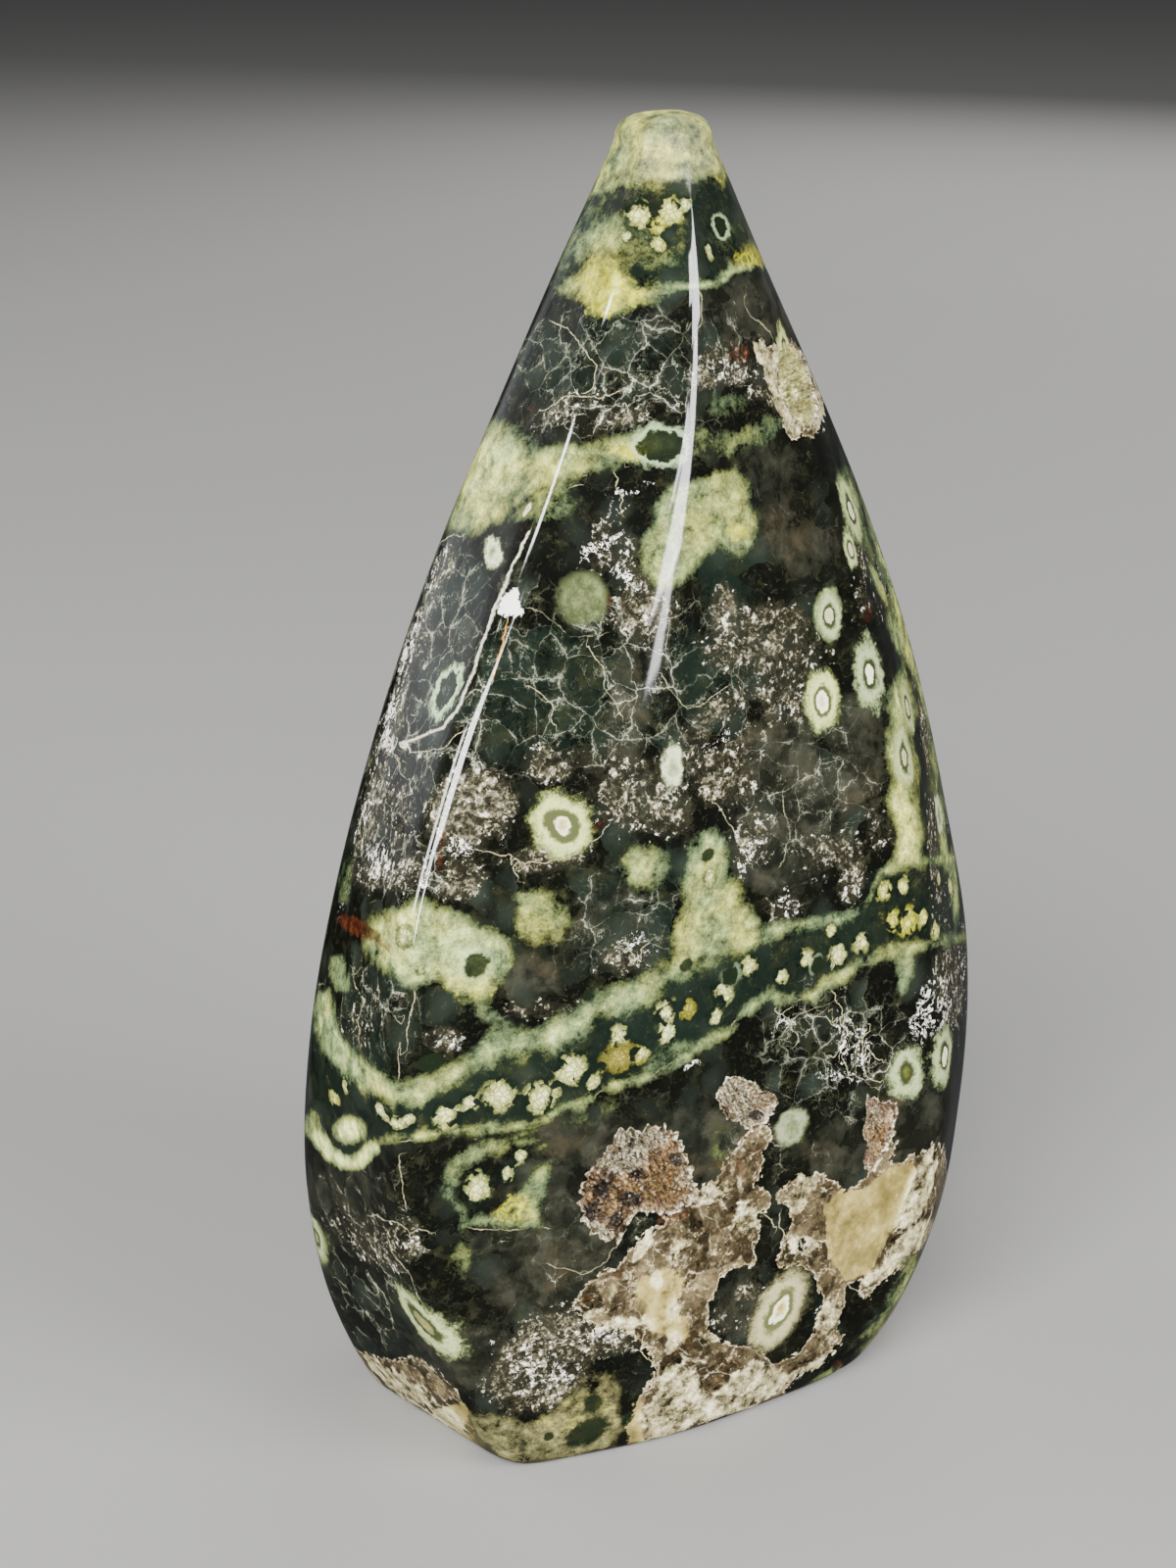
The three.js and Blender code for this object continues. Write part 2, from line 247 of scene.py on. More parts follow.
def pit_depth(vug, share, local):
    """Depth of a vug's floor below the polished skin."""
    bowl = 0.4 + 0.6 * (1 - np.clip(share, 0, 1) ** 2.5)
    lumps = 0.16 * np.sin(local[:, 0] * 1.9 + 1) * np.cos(local[:, 1] * 1.6)
    return vug["depth"] * (bowl + lumps * (1 - np.clip(share, 0, 1)))


def flat_shares(mesh):
    """The two shares that a vertex of the unrolled skin stands for."""
    flat = np.array([v.co[:2] for v in mesh.verts])
    return np.clip(flat[:, 0] + 0.5, 0, 1), np.clip(flat[:, 1] + 0.5, 0, 1)


STONE_COLUMNS = 392
STONE_ROWS = 224
stone_mesh = bmesh.new()
bmesh.ops.create_grid(stone_mesh, x_segments=STONE_COLUMNS, y_segments=STONE_ROWS, size=0.5)
skin = stone_skin(*flat_shares(stone_mesh))
near_vug = np.zeros(len(skin), bool)
for vug in VUGS.values():
    near_vug |= vug_places(vug, skin)[1] < 1.12
stone_mesh.verts.ensure_lookup_table()
rim_edges = {e for v, near in zip(stone_mesh.verts, near_vug) if near for e in v.link_edges}
bmesh.ops.subdivide_edges(stone_mesh, edges=list(rim_edges), cuts=2, use_grid_fill=True)
skin = stone_skin(*flat_shares(stone_mesh))
for vug in VUGS.values():
    local, share = vug_places(vug, skin)
    from_rim = np.hypot(local[:, 0], local[:, 1]) * (1 - 1 / np.maximum(share, 0.01))
    on_rim = (np.abs(from_rim) < 0.1) & (share < 2)
    flat = np.where(on_rim[:, None], local[:, :2] / np.maximum(share, 0.01)[:, None], local[:, :2])
    skin = skin + (flat - local[:, :2]) @ vug["axes"][:2]
    depth = np.where((share < 1) & ~on_rim, pit_depth(vug, share, local), 0)
    skin = skin - depth[:, None] * vug["axes"][2]
for vertex, place in zip(stone_mesh.verts, skin):
    vertex.co = place
bmesh.ops.remove_doubles(stone_mesh, verts=stone_mesh.verts, dist=0.002)
bmesh.ops.recalc_face_normals(stone_mesh, faces=stone_mesh.faces)
for face in stone_mesh.faces:
    face.smooth = True
stone_tree = BVHTree.FromBMesh(stone_mesh)


def on_stone(x, y):
    """Point and outward direction of the stone seen at a place in the picture."""
    place, normal, _, _ = stone_tree.ray_cast(view_place, sight_line(x, y))
    return (np.array(place), np.array(normal)) if place else (None, None)


def new_piece(name, mesh):
    """An object of the scene made from a finished mesh, still in the mesh's own units."""
    data = bpy.data.meshes.new(name)
    mesh.to_mesh(data)
    mesh.free()
    piece = bpy.data.objects.new(name, data)
    bpy.context.scene.collection.objects.link(piece)
    return piece


stone = new_piece("polished_stone", stone_mesh)
skin = np.array([v.co for v in stone.data.vertices])
skin_out = np.array([v.normal for v in stone.data.vertices])
stone.data.transform(Matrix.Scale(MM, 4))
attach(stone, "root")
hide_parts("jasper_stone")

# ---------------------------------------------------------------- the pattern in the stone
# Layers, clouds and ringed orbs of silica that grew in the rock. They are laid down here as soft
# amounts on the skin's vertices, and the stone's material breaks them up into grain and veins.
seen_x, seen_y = picture_places(skin)
to_view = np.array(view_place) - skin
to_view /= np.linalg.norm(to_view, axis=1)[:, None]
facing = (to_view * skin_out).sum(1)
chance = np.random.default_rng(7)


def soft(low, high, value):
    """A smooth rise from nothing at a low value to one at a high value."""
    t = np.clip((value - low) / (high - low), 0, 1)
    return t * t * (3 - 2 * t)


in_pit = np.zeros(len(skin))
for vug in VUGS.values():
    in_pit = np.maximum(in_pit, vug_places(vug, skin)[1] < 0.995)

# layers pass through the stone, and wander a little on their way to the far side
far_side = soft(0.05, 0.6, -facing)
seen_x = seen_x + far_side * 60 * np.sin(skin[:, 2] / 17 + 1)
seen_y = seen_y + far_side * (45 * np.cos(skin[:, 0] / 13) + 30)

amounts = {name: np.zeros(len(skin)) for name in (
    "pale", "veins", "crack", "druse", "white", "quartz", "honey", "smoke", "green", "yellow", "rust", "rim")}
crack_side = np.full(len(skin), 30.0)


def lay(name, value):
    """Raises an amount to a value wherever it is lower."""
    amounts[name] = np.maximum(amounts[name], value)


def oval_reach(dx, dy, across, up, turn=0):
    """How far places lie from an oval's middle, as a share of its turned half widths."""
    c, s = math.cos(math.radians(turn)), math.sin(math.radians(turn))
    return np.hypot((dx * c + dy * s) / across, (dy * c - dx * s) / up)


def patch(name, x, y, across, up, strength=1, turn=0, edge=0.55):
    """Soft oval patch, one half strong at its edge."""
    reach = oval_reach(seen_x - x, seen_y - y, across, up, turn)
    lay(name, strength * (1 - soft(1 - edge, 1 + edge, reach)))


def patches(name, rows, edge=0.55):
    """Many patches: each row is a place, half a width and half a height, a strength and a turn."""
    for row in rows:
        patch(name, *row, edge=edge)


def line_distance(start, end):
    """Distance in the picture from a straight piece of line."""
    (x0, y0), (x1, y1) = start, end
    ex, ey = x1 - x0, y1 - y0
    t = np.clip(((seen_x - x0) * ex + (seen_y - y0) * ey) / (ex * ex + ey * ey), 0, 1)
    return np.hypot(seen_x - x0 - t * ex, seen_y - y0 - t * ey)


def path_distance(path):
    """Distance in the picture from a line of several pieces."""
    return np.min([line_distance(start, end) for start, end in zip(path, path[1:])], axis=0)


def region(outline, fade):
    """Share of being inside an outline, one half on the line, over a fade in picture pixels."""
    closed = outline + outline[:1]
    distance = path_distance(closed)
    inside = np.zeros(len(skin), bool)
    for (x0, y0), (x1, y1) in zip(closed, closed[1:]):
        if y0 != y1:
            crosses = (y0 > seen_y) != (y1 > seen_y)
            inside ^= crosses & (seen_x < x0 + (seen_y - y0) / (y1 - y0) * (x1 - x0))
    return np.clip(0.5 + np.where(inside, distance, -distance) / (2 * fade), 0, 1)


def thin(name, share, outline, fade):
    """Takes a share of an amount away again inside an outline."""
    amounts[name] *= 1 - share * region(outline, fade)


def stroke(name, path, width, strength=1):
    """Soft line along a path in the picture."""
    lay(name, strength * (1 - soft(0.3, 1.7, path_distance(path) / width)))


def crack(path, strength, wander=3.5):
    """A long healed crack: the side of it that each vertex is on, how far, and how strong it shows."""
    for reach in (wander, wander / 2):
        middles = [((x0 + x1) / 2 + chance.normal(0, reach), (y0 + y1) / 2 + chance.normal(0, reach))
                   for (x0, y0), (x1, y1) in zip(path, path[1:])]
        path = [p for pair in zip(path, middles) for p in pair] + [path[-1]]
    for (x0, y0), (x1, y1) in zip(path, path[1:]):
        away = line_distance((x0, y0), (x1, y1))
        side = np.where((seen_x - x0) * (y1 - y0) > (seen_y - y0) * (x1 - x0), away, -away)
        crack_side[:] = np.where(away < np.abs(crack_side), side, crack_side)
        lay("crack", strength * (1 - soft(5, 11, away)) * (facing > 0))


# the main layer: a wide pale fuzzy rim above, a thin one below, dark green with flowers between
main_upper = [
    (300, 1000), (330, 1020), (345, 1060), (375, 1085), (400, 1103), (430, 1103), (460, 1088), (490, 1063),
    (520, 1053), (560, 1045), (590, 1030), (612, 1010), (640, 1003), (670, 990), (690, 972), (715, 955),
    (740, 952), (780, 945), (810, 938), (845, 932), (872, 928), (886, 912), (894, 892), (908, 878), (930, 872),
    (1000, 868)]
main_lower = [
    (300, 1140), (330, 1168), (350, 1188), (372, 1186), (386, 1166), (440, 1160), (500, 1152), (548, 1150),
    (572, 1132), (596, 1128), (612, 1114), (650, 1105), (668, 1098), (700, 1080), (722, 1064), (744, 1056),
    (757, 1038), (784, 1016), (802, 1022), (830, 1019), (842, 1004), (862, 998), (878, 984), (902, 974),
    (1000, 955)]
top_line = np.interp(seen_x, *zip(*main_upper))
low_line = np.interp(seen_x, *zip(*main_lower))
rim_width = np.interp(seen_x, [320, 400, 440, 520, 640, 740, 800, 900], [36, 34, 26, 32, 36, 34, 15, 16])
in_main = soft(-6, 6, seen_y - top_line) * (1 - soft(-6, 6, seen_y - low_line))
patchy = 0.85 + 0.13 * np.sin(seen_x / 11) + 0.1 * np.sin(seen_x / 5.3 + 2)
lay("pale", (patchy + 0.14) * np.clip(1 - np.abs(seen_y - top_line - rim_width * 0.45) / rim_width, 0, 1))
low_width = np.interp(seen_x, [380, 560, 700, 760, 870, 930], [13, 13, 14, 19, 18, 16])
lay("pale", (patchy + 0.02) * np.clip(1 - np.abs(seen_y - low_line + 2) / low_width, 0, 1))
patch("pale", 680, 1074, 36, 11, 0.62, -22)
crack([(386, 1168), *main_lower[5:-1]], 0.9)
lay("pale", 0.26 * in_main)
lay("pale", 0.5 * region([(560, 1140), (600, 1126), (640, 1108), (636, 1140), (600, 1160), (560, 1165)], 14))
lay("green", in_main)

# layers higher up the stone
cap_line = np.interp(seen_x, [590, 625, 650, 680, 700, 750], [206, 192, 188, 186, 181, 180])
lay("pale", 0.9 * (1 - soft(-14, 12, seen_y - cap_line)))
lay("yellow", 0.4 * (1 - soft(-14, 12, seen_y - cap_line)))
lay("pale", 1.05 * np.clip(1 - np.abs(seen_y - cap_line + 4) / 13, 0, 1))
lay("pale", 0.54 * soft(-8, 8, seen_y - cap_line) * (1 - soft(270, 290, seen_y)))
thin("pale", 0.75, [(706, 196), (744, 196), (756, 236), (748, 288), (718, 290), (706, 250)], 10)
thin("pale", 0.6, [(632, 198), (700, 197), (702, 212), (672, 246), (640, 234), (622, 214)], 8)
lay("green", soft(-8, 8, seen_y - cap_line) * (1 - soft(270, 310, seen_y)))
lay("pale", region([
    (560, 292), (588, 276), (606, 258), (626, 262), (642, 284), (672, 285), (692, 289), (690, 302), (662, 311),
    (640, 316), (620, 324), (600, 322), (590, 306), (565, 300)], 12))
lay("yellow", 0.85 * region([
    (586, 285), (600, 258), (626, 262), (642, 284), (672, 290), (660, 310), (620, 324), (596, 322)], 14))
stroke("pale", [(690, 292), (730, 289), (746, 276), (765, 270), (800, 268)], 6)
patch("pale", 772, 258, 24, 14, 0.8, -20)
patch("pale", 612, 244, 44, 26, 0.78, -20)
patch("pale", 668, 250, 40, 24, 0.45)
patch("pale", 735, 245, 26, 26, 0.45)
lay("pale", region([
    (452, 450), (470, 444), (500, 436), (520, 452), (550, 456), (600, 450), (650, 438), (694, 437), (694, 462),
    (660, 470), (630, 478), (598, 486), (566, 496), (545, 508), (520, 530), (485, 545),
    (440, 545)], 9) * (0.9 + 0.12 * np.cos(seen_x / 13)))
patch("pale", 490, 480, 60, 50, 1.1, -30)
patch("pale", 545, 505, 50, 36, 0.6)
lay("pale", 0.62 * region([
    (700, 430), (740, 438), (770, 428), (802, 418), (806, 440), (786, 452), (760, 466), (736, 474),
    (702, 468)], 10))
patch("pale", 740, 412, 26, 18, 0.5)

# clouds of pale silica
for strength, fade, outline in [
    (0.92, 8, [
        (668, 515), (680, 497), (700, 490), (715, 485), (735, 478), (752, 475), (765, 490), (769, 515),
        (776, 540), (768, 560), (755, 568), (735, 565), (718, 572), (708, 590), (690, 600), (672, 606),
        (660, 590), (651, 570), (655, 545), (668, 533)]),
    (1.05, 10, [
        (372, 945), (385, 930), (405, 925), (430, 916), (455, 924), (475, 935), (490, 945), (511, 950),
        (526, 965), (521, 985), (511, 1002), (500, 1018), (480, 1021), (460, 1016), (445, 1002), (430, 1008),
        (413, 1008), (398, 997), (380, 987), (370, 965)]),
    (0.4, 20, [(512, 930), (540, 900), (580, 905), (596, 940), (575, 972), (530, 970)]),
    (0.4, 16, [(624, 880), (655, 852), (694, 872), (684, 908), (640, 914)]),
    (0.92, 10, [
        (698, 872), (710, 850), (735, 843), (744, 860), (747, 885), (756, 905), (772, 930), (786, 950),
        (740, 968), (690, 975), (680, 958), (697, 922), (690, 900)]),
    (0.8, 8, [
        (453, 1190), (468, 1172), (500, 1160), (545, 1158), (568, 1168), (560, 1178), (540, 1170), (516, 1176),
        (490, 1186), (470, 1196), (466, 1222), (480, 1240), (508, 1232), (530, 1212), (546, 1190), (566, 1180),
        (560, 1215), (553, 1232), (555, 1254), (510, 1255), (468, 1255), (460, 1235), (448, 1212)]),
    (0.7, 9, [
        (478, 1438), (500, 1440), (538, 1450), (562, 1434), (580, 1420), (600, 1398), (622, 1396), (634, 1420),
        (638, 1450), (630, 1485), (585, 1512), (540, 1512), (498, 1488), (470, 1460)]),
    (1.15, 9, [
        (908, 700), (922, 680), (931, 700), (936, 730), (930, 752), (938, 784), (935, 812), (944, 846),
        (938, 888), (908, 880), (916, 850), (904, 820), (910, 794), (903, 770), (909, 740), (904, 722)]),
    (0.8, 8, [(947, 775), (957, 762), (962, 800), (970, 830), (964, 892), (954, 862), (956, 836), (949, 815)]),
    (0.95, 4, [
        (843, 600), (852, 597), (859, 615), (857, 640), (848, 657), (840, 653), (831, 640), (827, 622),
        (834, 606)]),
    (0.8, 6, [(858, 470), (870, 480), (882, 520), (884, 560), (872, 556), (862, 520), (852, 490)]),
    (0.85, 6, [(309, 1236), (328, 1248), (338, 1270), (334, 1294), (320, 1290), (306, 1262)]),
    (0.8, 10, [
        (900, 1335), (925, 1280), (950, 1275), (945, 1320), (920, 1365), (885, 1385), (870, 1385),
        (880, 1360)]),
    (0.75, 6, [(812, 1418), (840, 1398), (866, 1388), (850, 1412), (826, 1426)]),
    (1, 7, [
        (322, 1012), (338, 1004), (346, 1050), (366, 1076), (392, 1094), (420, 1112), (404, 1128), (366, 1112),
        (346, 1094), (330, 1078), (318, 1050)]),
    (0.85, 6, [(308, 1134), (322, 1132), (332, 1152), (324, 1164), (308, 1160)]),
    (0.8, 5, [(336, 976), (350, 972), (362, 1000), (356, 1016), (342, 1010), (334, 996)]),
    (0.55, 10, [(352, 860), (368, 880), (366, 920), (344, 930), (336, 900)]),
    (0.85, 6, [(912, 975), (930, 968), (936, 985), (928, 1012), (918, 1018), (912, 1000)]),
    (0.7, 8, [(795, 1138), (812, 1128), (828, 1146), (820, 1168), (802, 1166)]),
    (0.45, 10, [(455, 1270), (478, 1266), (488, 1290), (476, 1304), (460, 1298)]),
    (0.5, 8, [(722, 1160), (744, 1148), (752, 1170), (736, 1200), (722, 1190)]),
]:
    lay("pale", strength * region(outline, fade))
patches("pale", [
    (470, 1284, 12, 18, 0.6), (735, 1172, 18, 28, 0.45), (612, 244, 30, 22, 0.9), (412, 955, 15, 12, 1.5, -20),
    (357, 1153, 16, 14, 1.5), (551, 936, 30, 28, 0.95, 20), (658, 884, 26, 24, 0.95), (916, 650, 7, 30, 1, -20),
    (930, 672, 6, 34, 1, -17), (944, 716, 5, 44, 1, -14), (954, 780, 6, 44, 0.8, -9),
    (962, 850, 5, 50, 0.9, -5), (896, 596, 5, 30, 0.9, -24), (886, 556, 5, 24, 0.7, -20),
    (973, 905, 5, 40, 1, -4),
], edge=0.7)
stroke("pale", [(462, 1012), (490, 1030), (520, 1052)], 10, 0.6)
stroke("pale", [(324, 1160), (336, 1176), (350, 1186), (366, 1186), (380, 1172)], 8, 1.25)

# the longest healed cracks, each a bright line of its own
for strength, path in [
    (0.9, [(446, 556), (470, 548), (500, 534), (514, 524)]), (0.8, [(508, 516), (548, 502), (590, 494)]),
    (0.9, [(598, 482), (640, 470), (690, 462)]), (0.8, [(636, 470), (628, 500), (634, 520)]),
    (1, [(392, 752), (420, 768), (452, 764), (478, 742)]), (0.8, [(400, 768), (408, 790)]),
    (0.7, [(424, 610), (412, 600)]), (1, [(520, 872), (556, 882), (592, 868), (620, 842)]),
    (0.9, [(490, 868), (520, 874), (528, 894)]), (1, [(846, 1008), (862, 1036), (878, 1062), (898, 1082)]),
    (1, [(862, 1036), (856, 1068), (866, 1100)]), (0.9, [(878, 1062), (882, 1092), (896, 1104)]),
    (0.9, [(826, 1036), (848, 1046), (862, 1040)]), (0.8, [(790, 1030), (808, 1042), (812, 1066)]),
    (0.7, [(888, 1046), (878, 1062), (862, 1074), (846, 1078)]),
    (0.6, [(560, 1290), (596, 1300), (622, 1286), (634, 1264)]), (0.6, [(438, 1342), (410, 1290), (396, 1262)]),
    (0.8, [(600, 660), (616, 700), (634, 730)]), (0.8, [(540, 700), (564, 716), (566, 740)]),
    (0.7, [(676, 690), (700, 722), (742, 700)]), (0.9, [(640, 960), (650, 980), (662, 962)]),
    (0.8, [(730, 820), (752, 850), (764, 880)]), (0.6, [(800, 812), (806, 850), (796, 884)]),
    (0.5, [(540, 620), (580, 650), (620, 646)]), (0.8, [(566, 330), (590, 348), (610, 372), (604, 398)]),
    (0.8, [(552, 420), (580, 404), (612, 408), (640, 396)]), (0.6, [(760, 300), (776, 330), (790, 360)]),
    (0.7, [(712, 296), (716, 330), (708, 362)]), (0.7, [(360, 990), (372, 1020), (366, 1058)]),
    (0.7, [(384, 1240), (420, 1262), (440, 1258)]), (0.8, [(478, 1253), (520, 1256), (556, 1252)]),
    (0.9, [(640, 1318), (662, 1300), (668, 1272), (690, 1252)]),
    (0.9, [(600, 1340), (628, 1350), (646, 1334), (660, 1350), (654, 1380), (672, 1404)]),
    (0.9, [(716, 1372), (706, 1350), (690, 1336), (684, 1316), (694, 1292)]),
    (0.8, [(664, 1340), (676, 1366), (700, 1380)]), (0.9, [(740, 1266), (760, 1244), (776, 1236), (790, 1252)]),
    (0.9, [(700, 1204), (712, 1230), (730, 1244)]), (0.9, [(830, 1300), (818, 1270), (800, 1262), (796, 1240)]),
    (0.9, [(905, 1304), (930, 1268), (944, 1230)]), (0.8, [(632, 1310), (650, 1320), (664, 1340)]),
    (0.8, [(730, 1244), (738, 1262), (730, 1284), (712, 1300)]),
    (0.8, [(836, 1236), (846, 1262), (840, 1290), (860, 1304)]), (0.8, [(690, 1410), (720, 1396), (760, 1402)]),
    (0.8, [(842, 1330), (850, 1360), (838, 1384)]), (0.8, [(866, 1312), (884, 1322), (900, 1306)]),
    (0.9, [(592, 1342), (610, 1348), (630, 1344), (648, 1350)]), (0.7, [(404, 1040), (406, 1080), (404, 1112)]),
    (0.7, [(424, 1000), (418, 1040), (416, 1070)]), (0.7, [(408, 1180), (410, 1200), (414, 1230)]),
]:
    crack(path, strength)

# the wide cream vein down the left ridge, near white, a vein that also stands as a painted highlight along the
# ridge; and the amber streak beside it
RIDGE_VEIN_AND_HIGHLIGHT, AMBER_STREAK = 1.5, 2.5
crack([(540, 542), (522, 580), (504, 622), (494, 652), (482, 688), (468, 722), (450, 744), (420, 756),
       (392, 762)], RIDGE_VEIN_AND_HIGHLIGHT, 0.6)
crack([(518, 636), (514, 652), (509, 668), (503, 690)], AMBER_STREAK, 0.5)

# the network of fine healed cracks
patches("veins", [
    (640, 370, 130, 70, 0.85), (600, 700, 150, 110, 0.8), (430, 780, 70, 90, 1), (710, 690, 100, 80, 0.6),
    (850, 1070, 80, 70, 0.9), (640, 940, 90, 60, 0.5), (440, 600, 60, 70, 0.9), (600, 1300, 130, 110, 0.3),
    (370, 1030, 60, 60, 0.6), (820, 800, 80, 100, 0.6), (370, 1290, 70, 110, 0.5), (780, 1180, 60, 40, 0.4),
    (420, 870, 60, 50, 1), (590, 400, 60, 50, 1), (420, 680, 50, 90, 1.1), (450, 620, 40, 50, 1.1),
])

# sparkling grey quartz druse
patches("druse", [
    (932, 630, 10, 60, 1.1, -20), (946, 750, 7, 80, 1.1, -10), (880, 560, 12, 50, 0.9, -22),
    (952, 860, 6, 60, 1, -3), (480, 825, 50, 40, 1.15, -30), (560, 875, 50, 16, 0.9, -10),
    (650, 810, 70, 50, 0.75, 30), (450, 590, 10, 40, 0.8, 22), (422, 660, 12, 60, 0.8, 18),
    (400, 740, 12, 60, 0.8, 16), (378, 830, 12, 60, 0.9, 14), (404, 830, 20, 40, 0.7), (740, 790, 40, 40, 0.8),
    (770, 650, 60, 34, 0.95, -20), (800, 690, 50, 50, 0.7), (655, 620, 30, 38, 1), (625, 555, 30, 34, 0.7, 35),
    (400, 890, 45, 22, 1), (470, 900, 30, 22, 0.9), (735, 375, 40, 24, 0.9, 15), (790, 390, 30, 30, 0.9),
    (765, 860, 22, 40, 0.8, 20), (850, 870, 40, 20, 0.8, -10), (560, 780, 30, 24, 0.8), (400, 550, 40, 30, 0.4),
    (640, 425, 24, 12, 0.9, -10), (580, 415, 50, 16, 0.7, -20), (890, 600, 24, 40, 0.6),
    (380, 1270, 50, 20, 0.7, 35), (410, 1265, 24, 26, 0.8), (365, 1050, 30, 50, 0.6, 30),
    (550, 1030, 50, 12, 0.7), (700, 760, 40, 20, 0.7, -30), (740, 720, 50, 14, 0.8, -30),
    (900, 850, 24, 24, 0.7), (640, 975, 30, 22, 0.9), (455, 1060, 20, 14, 1), (870, 900, 14, 26, 0.9, 20),
    (800, 925, 20, 20, 0.7), (970, 1000, 20, 60, 0.8), (960, 920, 14, 40, 0.6),
    (565, 1415, 40, 26, 1, -10), (540, 1385, 40, 30, 1, -20), (620, 1370, 40, 18, 0.9, -10),
    (765, 1318, 18, 12, 1), (750, 1345, 28, 24, 0.62),
])

# bright white fissures
patches("white", [
    (610, 560, 34, 12, 1, -35), (640, 590, 34, 14, 1, 45), (628, 520, 12, 26, 0.8), (640, 500, 40, 8, 0.9, -12),
    (655, 632, 22, 20, 0.8), (648, 965, 26, 18, 1, 20), (460, 1062, 24, 12, 1), (612, 990, 16, 10, 0.8, -30),
    (870, 1062, 22, 46, 0.95, -30), (860, 1095, 36, 16, 0.95), (800, 1045, 22, 12, 0.8, -30),
    (950, 1030, 26, 46, 1, 25), (985, 980, 12, 60, 0.8), (550, 1400, 50, 36, 0.9),
    (620, 1360, 50, 14, 0.9, -15), (400, 890, 50, 18, 0.9), (480, 860, 60, 30, 0.7), (765, 860, 20, 40, 1, 25),
    (870, 905, 12, 24, 1, 20), (805, 922, 20, 14, 0.9), (836, 900, 14, 20, 0.8), (750, 380, 46, 20, 0.9, 10),
    (765, 650, 40, 22, 0.8, -30), (590, 405, 50, 20, 0.7, -20), (520, 615, 14, 12, 1),
    (420, 1260, 14, 8, 0.9, -45), (705, 1087, 14, 7, 1, -25), (590, 770, 50, 10, 0.6, 10),
    (730, 760, 60, 12, 0.8, -30), (400, 640, 14, 60, 0.6, 20), (690, 700, 60, 12, 0.5),
    (440, 770, 40, 10, 0.9, 10), (446, 580, 8, 40, 0.9, 22), (418, 660, 7, 50, 1.1, 18),
    (396, 740, 8, 50, 1.1, 16), (374, 830, 8, 50, 1, 14), (352, 910, 7, 40, 0.8, 14), (386, 880, 22, 24, 1.1),
    (470, 866, 20, 12, 1.1), (486, 906, 10, 8, 1), (430, 900, 10, 14, 1.1), (470, 640, 8, 30, 0.7),
    (455, 700, 8, 12, 1.2), (905, 600, 6, 40, 1, -22), (946, 740, 4, 60, 1, -12), (963, 812, 4, 50, 1, -6),
])

# a small chip on the left ridge, painted solid white for the glint it catches, a painted highlight; and the
# pale druse between the upper orbs
lay("white", 2.4 * region([(503, 628), (516, 606), (527, 598), (531, 612), (535, 629)], 4))
patch("druse", 738, 632, 14, 40, 1.2)
patch("white", 738, 632, 9, 36, 0.9)

# a lace of white and grey crystals left of the brown quartz
lay("druse", region([
    (496, 1398), (506, 1372), (530, 1350), (566, 1334), (600, 1330), (640, 1352), (646, 1366), (612, 1372),
    (590, 1390), (577, 1408), (566, 1428), (540, 1442), (508, 1438), (488, 1416)], 14))
lay("white", 0.85 * region([
    (500, 1400), (512, 1374), (536, 1356), (580, 1344), (630, 1350), (640, 1362), (600, 1374), (574, 1400),
    (545, 1420), (516, 1416)], 16))

# slips of white quartz left of the shoulder vug
for x, y, across, up, strength in [
    (786, 372, 7, 26, 1.1), (776, 362, 5, 16, 0.9), (795, 404, 7, 30, 1.1), (808, 436, 8, 12, 1),
]:
    patch("white", x, y, across, up, strength * 1.3, -24)
    patch("quartz", x, y, across, up, strength, -24, 0.8)

# the brown and honey quartz that fills the lower right, with its white crusts
lay("quartz", region([
    (586, 1334), (598, 1312), (625, 1296), (652, 1268), (672, 1250), (684, 1238), (690, 1205), (700, 1200),
    (712, 1216), (728, 1204), (745, 1182), (760, 1162), (772, 1140), (786, 1156), (778, 1186), (774, 1206),
    (786, 1224), (802, 1210), (816, 1198), (846, 1202), (862, 1216), (884, 1200), (892, 1172), (884, 1140),
    (896, 1126), (911, 1136), (914, 1162), (908, 1190), (936, 1180), (958, 1168), (968, 1200), (960, 1240),
    (936, 1282), (905, 1304), (878, 1330), (858, 1366), (838, 1392), (806, 1408), (790, 1460), (690, 1520),
    (640, 1500), (642, 1450), (652, 1426), (668, 1408), (666, 1380), (644, 1362), (624, 1352),
    (604, 1350)], 12))
lay("quartz", region([
    (782, 356), (800, 346), (818, 362), (836, 392), (842, 424), (830, 446), (814, 440), (802, 420), (792, 400),
    (784, 382)], 7))
lay("white", 1.4 * region([
    (790, 360), (804, 350), (822, 372), (836, 396), (840, 424), (828, 440), (814, 430), (804, 404),
    (794, 386)], 12))
lay("quartz", region([
    (352, 1374), (380, 1384), (405, 1388), (426, 1385), (442, 1398), (462, 1414), (474, 1436), (500, 1470),
    (470, 1500), (380, 1440)], 8))
thin("quartz", 1, [
    (736, 1300), (760, 1290), (790, 1298), (815, 1288), (832, 1300), (840, 1330), (830, 1360), (812, 1382),
    (790, 1392), (768, 1376), (738, 1370), (721, 1358), (722, 1330), (732, 1316)], 7)
thin("quartz", 1, [
    (772, 1238), (790, 1228), (806, 1232), (808, 1250), (800, 1264), (796, 1280), (785, 1296), (774, 1292),
    (768, 1274), (776, 1256)], 8)
thin("quartz", 1, [(812, 1266), (820, 1262), (826, 1270), (820, 1278), (812, 1276)], 5)
thin("quartz", 1, [(862, 1312), (880, 1306), (876, 1326), (866, 1350), (858, 1356)], 7)
lay("honey", region([
    (840, 1232), (858, 1214), (880, 1214), (905, 1194), (932, 1184), (938, 1200), (918, 1240), (903, 1270),
    (888, 1300), (862, 1308), (845, 1280)], 7))
lay("honey", 0.62 * region([
    (640, 1300), (680, 1286), (706, 1300), (700, 1330), (716, 1372), (690, 1376), (660, 1366),
    (645, 1340)], 12))
lay("honey", region([(440, 1440), (560, 1400), (650, 1380), (660, 1500), (540, 1540), (440, 1500)], 10))
lay("honey", region([(862, 1400), (960, 1260), (980, 1340), (900, 1440), (800, 1440)], 10))
